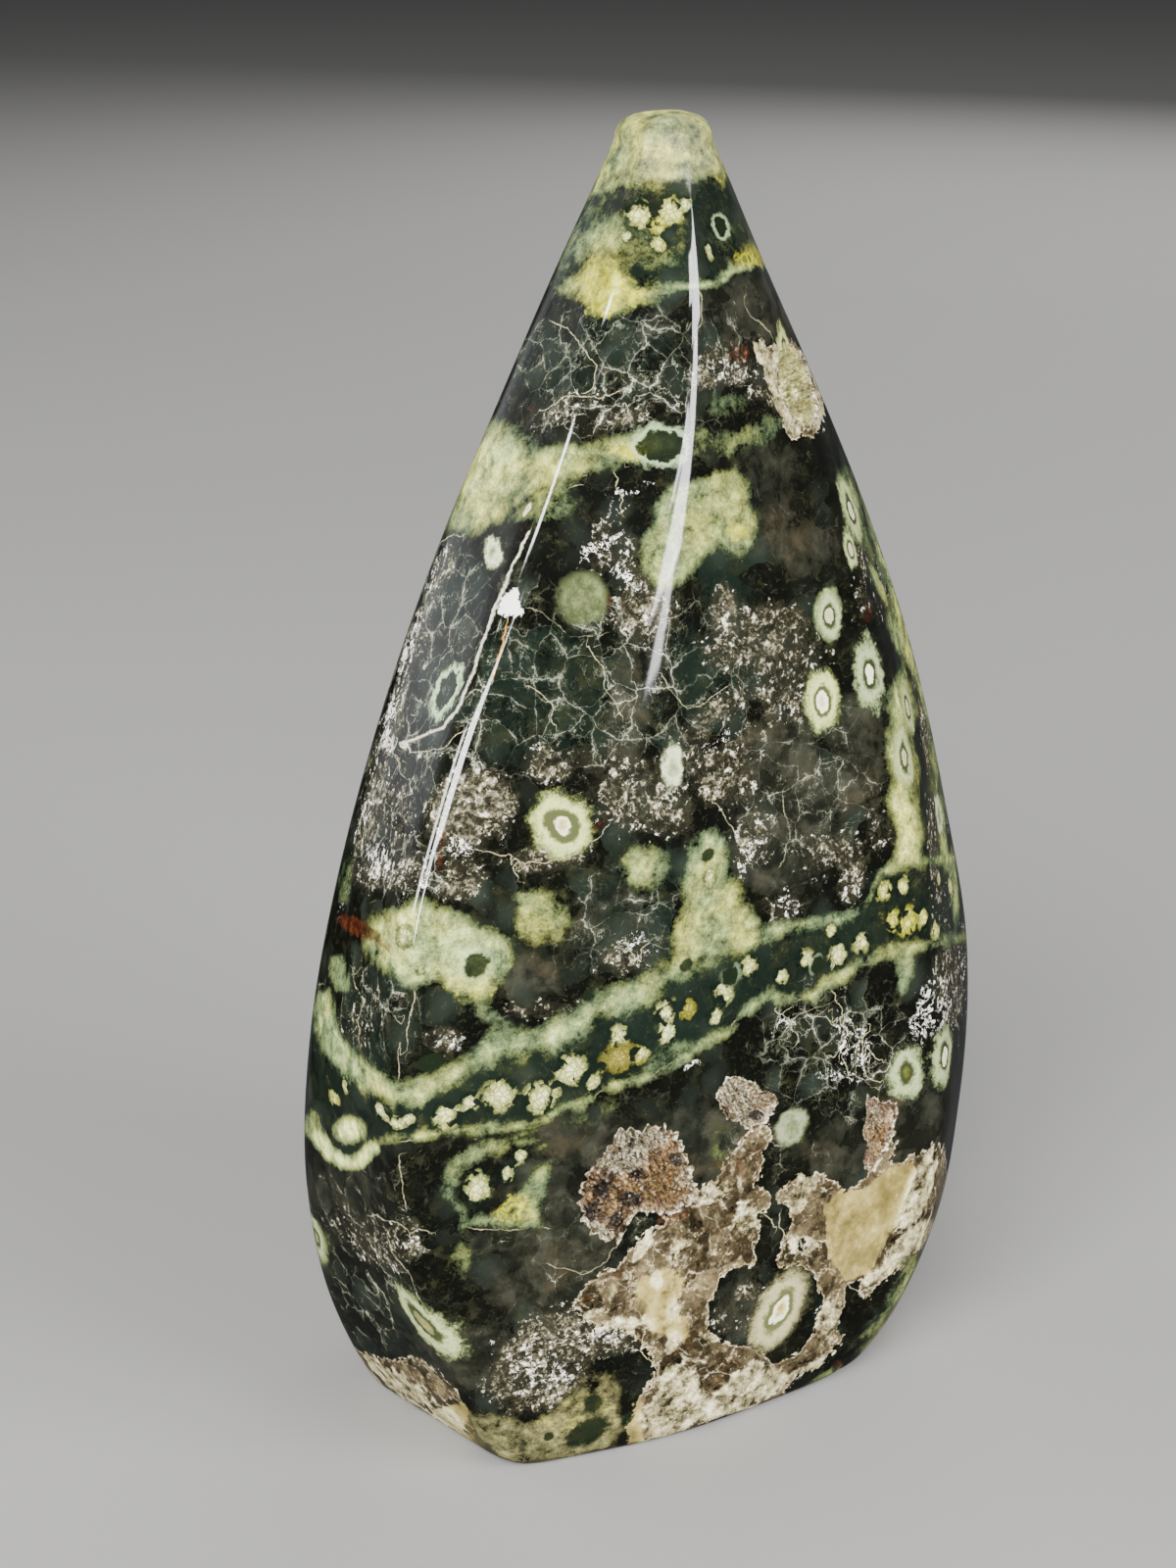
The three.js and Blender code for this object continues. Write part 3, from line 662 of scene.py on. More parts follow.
patches("white", [
    (938, 1216, 12, 44, 1.3, 20), (926, 1270, 12, 40, 1.1, 45), (900, 1300, 30, 8, 0.9, -30),
    (845, 1345, 16, 26, 0.9, 10), (814, 1224, 10, 18, 1.2, 20), (824, 1206, 12, 10, 1.1),
    (820, 1270, 18, 12, 0.9), (760, 1242, 16, 26, 0.9, 10), (656, 1272, 6, 22, 1, 30),
    (668, 1300, 6, 16, 0.8, -20), (625, 1322, 6, 16, 0.8), (598, 1344, 22, 8, 1, -20),
    (400, 1410, 60, 16, 0.85, 30), (450, 1450, 40, 16, 0.8, 30), (808, 384, 12, 40, 1.3, -25),
    (830, 420, 12, 26, 1.3, -20), (720, 1216, 14, 20, 0.6, 30), (700, 1262, 12, 20, 0.6, 20),
    (690, 1336, 10, 14, 0.8, 20), (686, 1370, 8, 16, 0.8, 30), (724, 1364, 20, 5, 0.9, 10),
    (738, 1212, 24, 8, 0.7, -20), (688, 1276, 6, 24, 0.6),
])
lay("white", 1.15 * region([
    (650, 1450), (666, 1426), (676, 1392), (692, 1390), (712, 1402), (728, 1424), (744, 1404), (772, 1388),
    (806, 1400), (840, 1378), (850, 1392), (812, 1412), (790, 1425), (760, 1440), (700, 1460),
    (660, 1474)], 10))

# dark smoky clear zones, and green ones
patches("smoke", [
    (800, 850, 60, 60, 1), (560, 1270, 80, 100, 0.7), (350, 1220, 50, 60, 0.5), (780, 500, 40, 70, 0.6),
    (715, 1165, 60, 40, 0.8), (770, 310, 60, 50, 0.7), (870, 770, 30, 60, 1), (800, 780, 50, 50, 0.8),
    (640, 730, 22, 90, 0.6), (620, 940, 40, 60, 0.5), (860, 1180, 50, 50, 0.6), (760, 1340, 50, 50, 0.5),
    (600, 1160, 60, 30, 0.9), (480, 1380, 60, 40, 0.7), (540, 1000, 40, 24, 0.7), (820, 560, 40, 30, 0.6),
    (930, 1150, 40, 60, 0.7),
])
patches("green", [
    (600, 360, 90, 60, 0.8), (580, 710, 110, 70, 0.9), (710, 680, 60, 40, 0.8), (740, 570, 40, 50, 0.8),
    (350, 1110, 50, 60, 1), (640, 930, 60, 80, 0.7), (380, 1040, 50, 50, 0.6), (450, 590, 50, 50, 0.7),
    (455, 700, 30, 40, 0.9), (730, 1160, 50, 30, 0.6), (930, 910, 50, 30, 1), (700, 240, 60, 50, 0.9),
    (960, 830, 30, 90, 0.7), (400, 1340, 50, 60, 0.5),
])

# iron stains, and ochre in the pale silica
patches("rust", [
    (364, 948, 24, 7, 1.15, 25), (392, 965, 14, 6, 0.9, 40), (755, 362, 15, 13, 0.8), (885, 628, 6, 10, 0.9),
    (620, 375, 26, 16, 0.5), (893, 1150, 12, 34, 0.7, 10), (690, 1228, 40, 26, 0.6),
    (745, 1195, 26, 24, 0.6, -30), (621, 615, 4, 13, 0.9), (612, 842, 14, 5, 0.8, -40),
    (560, 878, 16, 5, 0.7, -20), (590, 655, 60, 12, 0.4, -10), (790, 620, 40, 20, 0.4),
    (545, 415, 16, 8, 0.6, -30), (700, 770, 40, 20, 0.4, -20), (742, 1395, 14, 8, 0.5, -40),
    (855, 1392, 8, 6, 0.8), (450, 872, 3, 38, 0.9, 8), (368, 947, 26, 8, 1.3, 30), (704, 1230, 40, 14, 0.5),
    (676, 1245, 10, 20, 0.6),
])
patches("yellow", [
    (616, 312, 14, 10, 1.2), (754, 543, 14, 10, 0.8), (645, 460, 24, 8, 0.9), (920, 935, 26, 22, 0.8),
    (702, 1030, 12, 10, 0.9), (522, 1232, 26, 18, 0.7), (628, 1082, 26, 14, 0.8), (770, 262, 24, 10, 0.9),
    (470, 470, 30, 30, 0.4), (735, 180, 20, 10, 0.5), (560, 480, 40, 14, 0.4), (480, 1010, 40, 14, 0.5),
    (500, 500, 50, 30, 0.35), (720, 525, 50, 45, 0.35), (555, 940, 30, 30, 0.4), (420, 960, 60, 50, 0.2),
    (735, 930, 50, 60, 0.35), (880, 1222, 12, 12, 0.9), (735, 1400, 24, 12, 0.8), (585, 1440, 60, 40, 0.4),
    (925, 790, 20, 90, 0.3), (560, 1350, 30, 12, 0.7), (380, 1135, 60, 30, 0.3),
])

# orbs: for each kind, the share of the way from the nearest orb's middle to its edge
orbs = {name: np.full(len(skin), 3.0) for name in ("eye", "spot", "disc", "flower")}
orb_tint, orb_hollow = np.zeros(len(skin)), np.zeros(len(skin))


def grow_orb(kind, point, normal, radius, narrow=1.0, turn_by=0.0, tint=0.0, hollow=0.0):
    """One round orb cut open by the skin, as the share of its radius."""
    side = np.cross((0, 0, 1), normal)
    side /= np.linalg.norm(side)
    rise = np.cross(normal, side)
    c, s = math.cos(math.radians(turn_by)), math.sin(math.radians(turn_by))
    away = skin - point
    near = np.linalg.norm(away, axis=1) < radius * 5
    away = away[near]
    u, w, n = away @ side, away @ rise, away @ normal
    share = np.sqrt(((u * c + w * s) / (radius * narrow)) ** 2 + ((w * c - u * s) / radius) ** 2
                    + (n / radius) ** 2)
    closer = (share < orbs[kind][near]) & (share < 1.7)
    orb_tint[near] = np.where(closer, tint, orb_tint[near])
    orb_hollow[near] = np.where(closer, hollow, orb_hollow[near])
    orbs[kind][near] = np.minimum(orbs[kind][near], share)


# a row is a place in the picture, the radius in pixels, narrowness, turn, ochre and darkness of the core
SEEN_ORBS = {
    "eye": [
        (573, 842, 36, 0.86, 55, 0.8), (839, 716, 33, 0.68, 0, 0.6), (888, 688, 42, 0.56, 0, 0.1),
        (795, 1338, 52, 0.66, -28, 1), (432, 1350, 50, 0.6, 40, 0.3, 0.9), (868, 520, 36, 0.8, 0, 0.3, 0.2),
        (868, 560, 22, 0.6, 0, 0.3, 0.4), (923, 772, 34, 0.7, 0, 0.3, 0.5), (926, 722, 30, 0.7, 0, 0.3, 0.5),
        (925, 1095, 32, 0.8, 12, 0.2, 1), (964, 1078, 36, 0.8, 0, 0.2, 0.1), (323, 1262, 30, 0.8, 0, 0.2, 0.9),
        (940, 620, 30, 0.8, 0, 0.2, 0.3), (846, 628, 26, 0.7, 0, 0.2, 0.5), (950, 702, 22, 0.8, 0, 0.2, 0.3),
    ],
    "spot": [
        (487, 985, 17, 1, 0, 0.2), (600, 1462, 26, 1.3, 20), (606, 1432, 15), (674, 455, 22, 1.35, 0, 0.6),
        (455, 706, 29, 0.85, -10, 1), (736, 231, 13, 1, 0, 0.5), (745, 997, 14), (440, 1084, 12, 1.6),
        (640, 1448, 9), (560, 1466, 8), (722, 872, 11), (835, 985, 12), (700, 985, 9), (600, 1015, 7),
    ],
    "disc": [
        (594, 611, 26, 1, 0, 0, 1), (686, 782, 23, 0.6, -10, 0, 0.1), (503, 563, 13, 1.9, -20),
        (538, 520, 9, 0.6, -20), (958, 830, 24, 0.8, 0, 0, 0.2), (808, 1150, 22, 1, 0, 0, 0.7),
    ],
    "flower": [
        (412, 955, 12, 0.8, -30), (724, 896, 10, 0.7), (430, 990, 5), (388, 1133, 10, 1.8),
        (455, 1139, 15, 1, 0, 0.1), (509, 1118, 18, 1, 0, 0.1), (552, 1120, 19, 1, 0, 0.1),
        (583, 1092, 19, 1, 0, 0.1), (632, 1055, 12, 1, 0, 0.1), (680, 1033, 15, 0.9, 0, 0.1),
        (682, 1053, 14, 0.8), (702, 1030, 11, 1, 0, 1, 0.8), (632, 1080, 19, 1.2, 0, 0.7, 1),
        (652, 1078, 10, 1, 0, 0.6, 0.7), (742, 1016, 8), (797, 997, 10, 1, 0, 0.1), (822, 980, 12, 1, 0, 0.2),
        (854, 974, 17, 0.7), (848, 950, 8, 1, 0, 0.3), (902, 907, 15, 0.8, 0, 0.6), (922, 905, 12, 0.9, 0, 0.5),
        (911, 940, 12, 0.9, 0, 0.9), (926, 940, 17, 0.9, 0, 1), (942, 936, 13, 0.8, 0, 0.6),
        (958, 896, 13, 0.8, 0, 0.1), (955, 950, 12, 1, 0, 0.3), (970, 905, 16, 0.8, 0, 0.1),
        (652, 219, 15, 1, 0, 0.3), (684, 216, 15, 1, 0, 0.45), (671, 229, 9, 1, 0, 1), (671, 250, 9, 1, 0, 0.4),
        (700, 208, 7), (640, 240, 7), (724, 256, 9, 0.7), (758, 212, 9, 1, 0, 0.3),
        (487, 1213, 19, 0.8, 0, 0.1), (517, 1198, 11, 0.7), (531, 1180, 8), (341, 1120, 9, 1.6, 0, 0.5),
        (418, 1143, 7), (655, 1075, 9, 1, 0, 0.2), (352, 1108, 8, 1.4), (404, 1146, 8, 1.4),
        (738, 1010, 12, 1, 0, 0.1), (765, 985, 12, 1, 0, 0.2), (730, 1038, 10, 1, 0, 0.2), (480, 1125, 10),
        (605, 1105, 10, 1, 0, 0.1), (880, 962, 12, 1, 0, 0.2),
    ],
}
for kind, places in SEEN_ORBS.items():
    for x, y, radius, *rest in places:
        point, normal = on_stone(x, y)
        if point is not None:
            grow_orb(kind, point, normal, radius * pixel_size, *rest)

# the sides that the view does not see carry the same kinds of orb and patch, scattered
HIDDEN_ORBS, HIDDEN_TRIES, HIDDEN_PATCHES = 80, 900, 16
ORB_RADII, ORB_ODDS = [1, 1.3, 1.7, 2.2, 3, 3.8], [0.25, 0.25, 0.2, 0.15, 0.1, 0.05]
hidden = np.flatnonzero((facing < 0) & (skin[:, 2] > 2))
taken = []
for _ in range(HIDDEN_TRIES):
    k = chance.choice(hidden)
    radius = chance.choice(ORB_RADII, p=ORB_ODDS)
    if any(np.linalg.norm(skin[k] - p) < (radius + r) * 1.3 + 1.5 for p, r in taken):
        continue
    if len(taken) >= HIDDEN_ORBS:
        break
    in_layer = in_main[k] > 0.5
    kind = "flower" if in_layer or radius < 1.2 else chance.choice(["eye", "disc", "spot"], p=[0.6, 0.2, 0.2])
    taken.append((skin[k], radius))
    grow_orb(kind, skin[k], skin_out[k], radius, chance.uniform(0.7, 1), chance.uniform(-40, 40),
             chance.uniform(0, 0.7), chance.uniform(0, 1))
for _ in range(HIDDEN_PATCHES):
    k = chance.choice(hidden)
    reach = np.linalg.norm(skin - skin[k], axis=1) / chance.uniform(4, 9)
    lay(chance.choice(["pale", "druse", "veins", "white"]), 0.95 * (1 - soft(0.4, 1.3, reach)))

# the thin sugary lip round each open vug
for vug in VUGS.values():
    local, share = vug_places(vug, skin)
    from_rim = np.hypot(local[:, 0], local[:, 1]) * (1 - 1 / np.maximum(share, 0.01))
    lay("rim", np.where(share < 2, 1 - soft(0.0, 0.6, np.abs(from_rim)), 0))

amounts["crack_side"] = np.clip(crack_side, -30, 30) * pixel_size


def write_amount(data, name, values):
    """Stores one number per vertex, for the materials to read."""
    layer = data.attributes.new(name, "FLOAT", "POINT")
    layer.data.foreach_set("value", values.astype(np.float32))


for name, values in {**amounts, **orbs, "tint": orb_tint, "hollow": orb_hollow, "pit": in_pit}.items():
    write_amount(stone.data, name, values)


# ---------------------------------------------------------------- the stone's material
# Polished silica: near-black and bottle green ground, pale clouds, ringed orbs, healed cracks and
# sparkling druse, all under one glassy polish.
def paint(code):
    """A colour named as on a paint card, as Blender's linear values."""
    parts = [int(code[i:i + 2], 16) / 255 for i in (1, 3, 5)]
    return tuple(c / 12.92 if c <= 0.04045 else ((c + 0.055) / 1.055) ** 2.4 for c in parts) + (1,)


class Wire:
    """One socket of a material, so that maths on it reads as plain expressions."""

    def __init__(self, finish, socket):
        self.finish, self.socket = finish, socket

    def maths(self, operation, a, b):
        if self.socket.type in ("VECTOR", "RGBA"):
            a, b = [(v, v, v) if isinstance(v, (int, float)) else v for v in (a, b)]
            return self.finish.add("ShaderNodeVectorMath", {"operation": operation}, {0: a, 1: b})
        return self.finish.add("ShaderNodeMath", {"operation": operation}, {0: a, 1: b})

    def __add__(self, other):
        return self.maths("ADD", self, other)

    def __radd__(self, other):
        return self.maths("ADD", other, self)

    def __sub__(self, other):
        return self.maths("SUBTRACT", self, other)

    def __rsub__(self, other):
        return self.maths("SUBTRACT", other, self)

    def __mul__(self, other):
        return self.maths("MULTIPLY", self, other)

    def __rmul__(self, other):
        return self.maths("MULTIPLY", other, self)


class Finish:
    """A material and the few kinds of node that the stone's finishes are made of."""

    def __init__(self, name):
        self.material = bpy.data.materials.new(name)
        self.material.use_nodes = True
        self.tree = self.material.node_tree
        self.shader = self.tree.nodes["Principled BSDF"]
        place = self.add("ShaderNodeTexCoord", {}, {}, "Object")
        self.place = place * (1 / MM)

    def add(self, kind, settings, values, output=0):
        node = self.tree.nodes.new(kind)
        for name, value in settings.items():
            if name == "ramp":
                stops = node.color_ramp.elements
                while len(stops) < len(value):
                    stops.new(1)
                for stop, (at, colour) in zip(stops, value):
                    stop.position, stop.color = at, colour
            else:
                setattr(node, name, value)
        for key, value in values.items():
            if isinstance(value, Wire):
                self.tree.links.new(value.socket, node.inputs[key])
            else:
                node.inputs[key].default_value = value
        return Wire(self, node.outputs[output])

    def amount(self, name):
        return self.add("ShaderNodeAttribute", {"attribute_name": name}, {}, "Fac")

    def noise(self, place, scale, detail=4, rough=0.55, output="Fac"):
        """Noise about zero, mostly within one of it either way."""
        values = {"Vector": place, "Scale": scale, "Detail": detail, "Roughness": rough}
        return (self.add("ShaderNodeTexNoise", {}, values, output) - 0.5) * 4

    def cells(self, place, scale, feature="DISTANCE_TO_EDGE", output="Distance"):
        return self.add("ShaderNodeTexVoronoi", {"feature": feature}, {"Vector": place, "Scale": scale}, output)

    def step(self, low, high, value):
        values = {"Value": value, "From Min": low, "From Max": high, "To Min": 0, "To Max": 1}
        return self.add("ShaderNodeMapRange", {"interpolation_type": "SMOOTHSTEP"}, values)

    def ramp(self, value, low, high, *codes):
        """Paints spread evenly from a low value to a high one."""
        share = self.add("ShaderNodeMapRange", {}, {"Value": value, "From Min": low, "From Max": high})
        stops = [(k / (len(codes) - 1), paint(code)) for k, code in enumerate(codes)]
        return self.add("ShaderNodeValToRGB", {"ramp": stops}, {"Fac": share}, "Color")

    def mix(self, share, a, b):
        a, b = [paint(v) if isinstance(v, str) else v for v in (a, b)]
        return self.add("ShaderNodeMix", {"data_type": "RGBA"}, {0: share, 6: a, 7: b}, 2)

    def blend(self, share, a, b):
        return self.add("ShaderNodeMix", {"data_type": "FLOAT"}, {0: share, 2: a, 3: b}, 0)

    def split(self, colour, channel):
        return self.add("ShaderNodeSeparateColor", {}, {"Color": colour}, channel)

    def wear(self, values):
        """Gives the shader its links and constants."""
        for name, value in values.items():
            if isinstance(value, Wire):
                self.tree.links.new(value.socket, self.shader.inputs[name])
            else:
                self.shader.inputs[name].default_value = value


POLISH_ROUGHNESS, WORN_ROUGHNESS, PIT_ROUGHNESS = 0.06, 0.7, 0.6
SHINE = 0.22
jasper = Finish("polished_jasper")
rock, amount, noise, cells = jasper.place, jasper.amount, jasper.noise, jasper.cells
step, ramp, mix, split = jasper.step, jasper.ramp, jasper.mix, jasper.split
swirl = noise(rock, 0.16, 2, 0.5, "Color")
curl = noise(rock, 0.6, 4, 0.6, "Color")
jag = noise(rock, 2.4, 3, 0.6, "Color")
bent = rock + swirl * 1 + curl * 0.5 + jag * 0.12
straight = rock + swirl * 0.9 + curl * 0.32 + jag * 0.05
fuzz = noise(rock, 0.8, 9, 0.68)
blots = noise(bent, 0.42, 9, 0.66)
mist = noise(bent, 0.3, 4, 0.5)
grain = noise(rock, 3.6, 6, 0.7)
broad = noise(rock, 0.12, 3, 0.5)
sparks = noise(bent, 1.6, 7, 0.72)
facet = split(cells(rock + curl * 0.18, 1.3, "F1", "Color"), "Red")
chip = split(cells(rock + jag * 0.06, 3.2, "F1", "Color"), "Green")
glitter = facet * 0.32 + chip * 0.32 + sparks * 0.55 + fuzz * 0.25 + 0.1

# ground: near-black, bottle green or smoky, each crack cell clearer in its middle, freckled paler
smoke = step(0.2, 0.8, amount("smoke") + blots * 0.3)
cell_tone = split(cells(straight, 0.27, "F1", "Color"), "Red")
cell_glow = 1 - step(0.05, 0.7, cells(straight, 0.27, "F1"))
green = step(0.3, 1, amount("green") * 0.7 + cell_tone * 0.5 + fuzz * 0.35)
body = mix(green, "#090a07", "#121b15")
body = mix(cell_glow * step(0.3, 1, cell_tone) * 0.8, body, "#2a312a")
body = mix(step(-0.2, 1.2, fuzz + broad) * 0.5, body, "#1c1d14")
body = mix(smoke * 0.4, body, "#20211a")
body = mix(smoke * step(-0.5, 0.9, mist + fuzz * 0.5) * 0.8, body, "#3b3b30")
body = mix(smoke * step(0.1, 0.9, broad * 0.7 + blots * 0.5) * 0.5, body, "#4a4130")
freckle = 1 - smoke * 0.8
body = mix(step(0, 1, blots) * freckle * 0.8, body, "#2c2d1c")
body = mix(step(0.25, 1.1, sparks) * freckle * 0.7, body, "#56543a")

# healed cracks: two networks of pale lines with a faint halo, and the long single ones
crack_wide = cells(straight, 0.27)
crack_fine = cells(straight + curl * 0.5, 0.62)
crack_break = step(-0.5, 0.8, noise(rock, 0.4, 5, 0.65))
vein_amount = step(0.15, 0.95, amount("veins") + blots * 0.35)
line_wide = (1 - step(0, 0.018, crack_wide + sparks * 0.004)) * (0.25 + crack_break * 0.9)
line_fine = (1 - step(0, 0.045, crack_fine)) * crack_break * 0.7
halo = (1 - step(0, 0.17, crack_wide)) * crack_break * 0.3
lines = (line_wide + line_fine + halo) * (0.1 + vein_amount * 0.9)
line_paint = ramp(sparks * 0.5 + broad * 0.4, -0.6, 0.6, "#454a3e", "#878b76", "#f6f5dc")
body = mix(step(0, 0.9, lines), body, line_paint)
crack_off = amount("crack_side") + fuzz * 0.2 + sparks * 0.1
crack_off = jasper.add("ShaderNodeMath", {"operation": "ABSOLUTE"}, {0: crack_off})
crack_amount = amount("crack")
# a crack amount above one widens the line and paints it near white: the left-ridge vein, partly a painted
# highlight along the ridge; above two the amber streak takes its own paint
crack_half = 0.06 + step(1.05, 1.35, crack_amount) * 0.16 - step(1.9, 2.2, crack_amount) * 0.06
long_crack = 1 - step(0, crack_half, crack_off + sparks * 0.05 + fuzz * 0.02)
long_crack = long_crack * step(0.3, 0.9, crack_amount + blots * 0.35)
long_paint = ramp(sparks + fuzz * 0.4, -0.9, 0.7, "#5c563c", "#bab388", "#fffbe2")
long_paint = mix(step(1.05, 1.35, crack_amount) * 0.4, long_paint, "#fffdee")
long_paint = mix(step(1.9, 2.2, crack_amount), long_paint, "#c88c1c")

# sparkling druse and bright white fissures
crystal = ramp(glitter, 0.05, 1, "#100f0b", "#373428", "#77715a", "#fdfaea")
druse_amount = amount("druse") + blots * 0.4
druse = step(0.3, 1, druse_amount)
body = mix(druse * 0.6, body, ramp(sparks, -0.8, 0.8, "#0f0f0b", "#302e24", "#56533f"))
body = mix(step(0, 0.2, glitter * 0.9 + druse_amount * 0.7 - 0.98), body, crystal)
thread = jasper.add("ShaderNodeMath", {"operation": "ABSOLUTE"}, {0: noise(bent, 0.62, 5, 0.6)})
thread = 1 - step(0.02, 0.3, thread)
white_amount = amount("white") + blots * 0.15
white = step(0, 0.18, thread * 0.5 + glitter * 0.5 + white_amount * 0.7 - 1.28)
body = mix(white, body, "#fffdf2")
body = mix(long_crack, body, long_paint)

# brown and honey quartz in clear panes, each walled by thin bright sugar
quartz_edge = amount("quartz") + fuzz * 0.15 + blots * 0.2 + grain * 0.04 + (facet - 0.5) * 0.25
pane = split(cells(straight, 0.34, "F1", "Color"), "Green")
wall = cells(straight, 0.34)
rind = 1 - step(0, 0.06, wall - sparks * 0.015)
shade = 1 - step(0.05, 0.22, wall)
# painted shade: darker towards the edges of round cells, as if the smooth skin had lit lumps
lump_shade = cells(bent + jag * 0.3, 0.6, "F1")
tone = fuzz * 0.22 + blots * 0.4 + mist * 0.3 + (pane + facet * 0.6 + chip * 0.3 - 0.95) * 0.7 - 0.2
clear = ramp(tone, -0.75, 0.85, "#14110b", "#332c1f", "#5c513a", "#837758", "#c2b48c")
clear = mix(step(0.3, 1, noise(rock, 0.5, 3, 0.5)) * 0.4, clear, "#6b4c31")
clear = mix(step(0.45, 0.75, noise(bent, 0.33, 4, 0.6)) * 0.9, clear, "#14170e")
clear = mix(shade * 0.3, clear, "#2a2317")
sugar = ramp(glitter + sparks * 0.2, 0.1, 1, "#3c3424", "#857759", "#d6c69e", "#fffcf2")
quartz_paint = mix(rind * crack_break * 0.9, clear, sugar)
shard = 1 - step(0, 0.06, cells(bent, 0.75))
quartz_paint = mix(shard * step(0.2, 0.8, fuzz + blots * 0.5) * 0.8, quartz_paint, "#efe0b4")
rim = 1 - step(0.5, 0.6, quartz_edge)
rim_paint = ramp(glitter + sparks * 0.3, 0, 0.8, "#4a3c26", "#b7a478", "#fff6da")
quartz_paint = mix(rim * 0.85, quartz_paint, rim_paint)
quartz_paint = mix(step(0.8, 1.1, glitter + fuzz * 0.2) * 0.8, quartz_paint, "#efe2bd")
honey_tone = mist * 0.4 + fuzz * 0.3 + broad * 0.3 + white_amount * 0.9 - 0.1
honey_paint = ramp(honey_tone, -0.7, 0.8, "#4c4424", "#867842", "#bcac6a", "#fbf4c0")
honey = step(0.44, 0.6, amount("honey") + fuzz * 0.15 + blots * 0.12)
quartz_paint = mix(honey * 0.85, quartz_paint, honey_paint)
quartz = step(0.46, 0.5, quartz_edge)
bright = step(0.55, 0.85, white_amount + fuzz * 0.3 + blots * 0.3)
# the white crust is painted lighter on its lumps and darker between them, a painted shade
white_tone = glitter * 0.5 + fuzz * 0.55 + blots * 0.3 + mist * 0.15 + sparks * 0.15 - lump_shade * 0.6
white_paint = ramp(white_tone, -0.7, 0.65, "#221e14", "#6a6348", "#aea47c", "#e4dab0", "#fffde6")
quartz_paint = mix(bright * 0.9, quartz_paint, white_paint)
body = mix(quartz, body, mix(long_crack * crack_break * 0.6, quartz_paint, "#f4ecca"))
lip = step(0.5, 0.75, amount("rim") + fuzz * 0.3 + blots * 0.3 + grain * 0.1)
body = mix(lip, body, ramp(glitter + sparks * 0.3, 0, 0.9, "#2e2616", "#84765a", "#f6ecd0"))

# pale clouds and layers: grey-green in some places and yellow-cream in others, with yellow knobs
pale_amount = amount("pale")
pale = pale_amount + (blots * 0.42 + fuzz * 0.42 + mist * 0.18 + grain * 0.24) * (0.35 + pale_amount * 0.5)
yellow_amount = amount("yellow")
hue = step(-0.8, 0.8, broad * 0.5 + mist * 0.6 + yellow_amount * 1.2 - 0.3)
mint_paint = ramp(pale, 0.3, 1.7, "#10170f", "#2e3827", "#566444", "#7d8c5c", "#aaba78", "#d8e6a4", "#f8fcc8")
cream_paint = ramp(pale, 0.3, 1.7, "#14150b", "#383a1c", "#666834", "#94954a", "#c0c062", "#eeec84", "#fdfdb0")
beige_paint = ramp(pale, 0.3, 1.7, "#14130c", "#373421", "#625d3e", "#8d875c", "#b8b07c", "#e2daa6", "#fcf8d0")
pale_paint = mix(hue, mint_paint, cream_paint)
pale_paint = mix(step(0.3, 0.9, amount("honey") + fuzz * 0.2) * 0.85, pale_paint, beige_paint)
knob = cells(rock, 1.1)
yellow = step(0.4, 0.9, yellow_amount + fuzz * 0.35 + sparks * 0.15)
gold = ramp(fuzz * 0.5 + sparks * 0.5, -0.8, 0.8, "#4c4a0c", "#a3a01c", "#f2f264")
pale_paint = mix(yellow * (1 - step(0.08, 0.3, knob)) * 0.9, pale_paint, gold)
body = mix(step(0.34, 0.58, pale), body, pale_paint)

# orbs: soft discs, flowers of small knobs, dark spots and ringed eyes
wobble = noise(rock, 0.33, 2, 0.5)
tint, hollow = amount("tint"), amount("hollow")
disc = amount("disc") + wobble * 0.16 + fuzz * 0.22 + grain * 0.06
disc_paint = ramp(disc + fuzz * 0.2, 0.1, 1, "#747c52", "#a9b48a", "#dfe4ba", "#4c5538")
disc_paint = mix(hollow, disc_paint, ramp(fuzz + grain * 0.3, -0.8, 0.8, "#2c331f", "#4d5536", "#757e52"))
body = mix(1 - step(0.78, 1.15, disc), body, disc_paint)
lobe = split(cells(rock, 1.15, "F1", "Color"), "Red")
seams = 1 - step(0.02, 0.2, cells(rock, 1.5))
flower = amount("flower") + fuzz * 0.26 + grain * 0.14
bloom = 1 - step(0.66, 0.96, flower + lobe * 0.75 - 0.33 + sparks * 0.12)
bloom_tone = grain * 0.35 + fuzz * 0.4 - flower * 0.7
bloom_paint = ramp(bloom_tone, -1.15, 0.2, "#2c3420", "#747a48", "#d2d48c", "#ffffdc")
bloom_paint = mix(tint * 0.85, bloom_paint, ramp(bloom_tone, -1.15, 0.2, "#43400c", "#a09c1a", "#f8f664"))
bloom_paint = mix(hollow * 0.85, bloom_paint, ramp(bloom_tone, -1.1, 0.4, "#211b08", "#5f5218", "#b3a048"))
bloom_paint = mix(seams * 0.6, bloom_paint, "#39431f")
body = mix((1 - step(0.95, 1.4, flower)) * 0.7, body, "#0c1510")
body = mix(bloom, body, bloom_paint)
spot = amount("spot") + wobble * 0.14 + fuzz * 0.2 + grain * 0.05
spot_paint = mix(step(0.5, 1, sparks) * 0.5, "#151d12", "#6a7452")
body = mix((1 - step(0.6, 0.95, spot)) * 0.95, body, spot_paint)
spot_rim = step(0.66, 0.78, spot + fuzz * 0.1) * (1 - step(0.82, 1.12, spot + fuzz * 0.15))
body = mix(spot_rim * tint, body, "#b4cc9c")
eye = amount("eye") + wobble * 0.1 + fuzz * 0.1 + grain * 0.03
halo_tone = eye + blots * 0.14 + fuzz * 0.12 + grain * 0.14
halo_paint = ramp(halo_tone, 0.4, 1.25, "#7f8b56", "#d0d78a", "#aab46c", "#5d683a", "#1c2417")
halo_dull = ramp(halo_tone, 0.4, 1.25, "#5a6747", "#a9b385", "#7f8c62", "#3b4730", "#161c13")
halo_paint = mix(step(0.1, 0.7, tint), halo_dull, halo_paint)
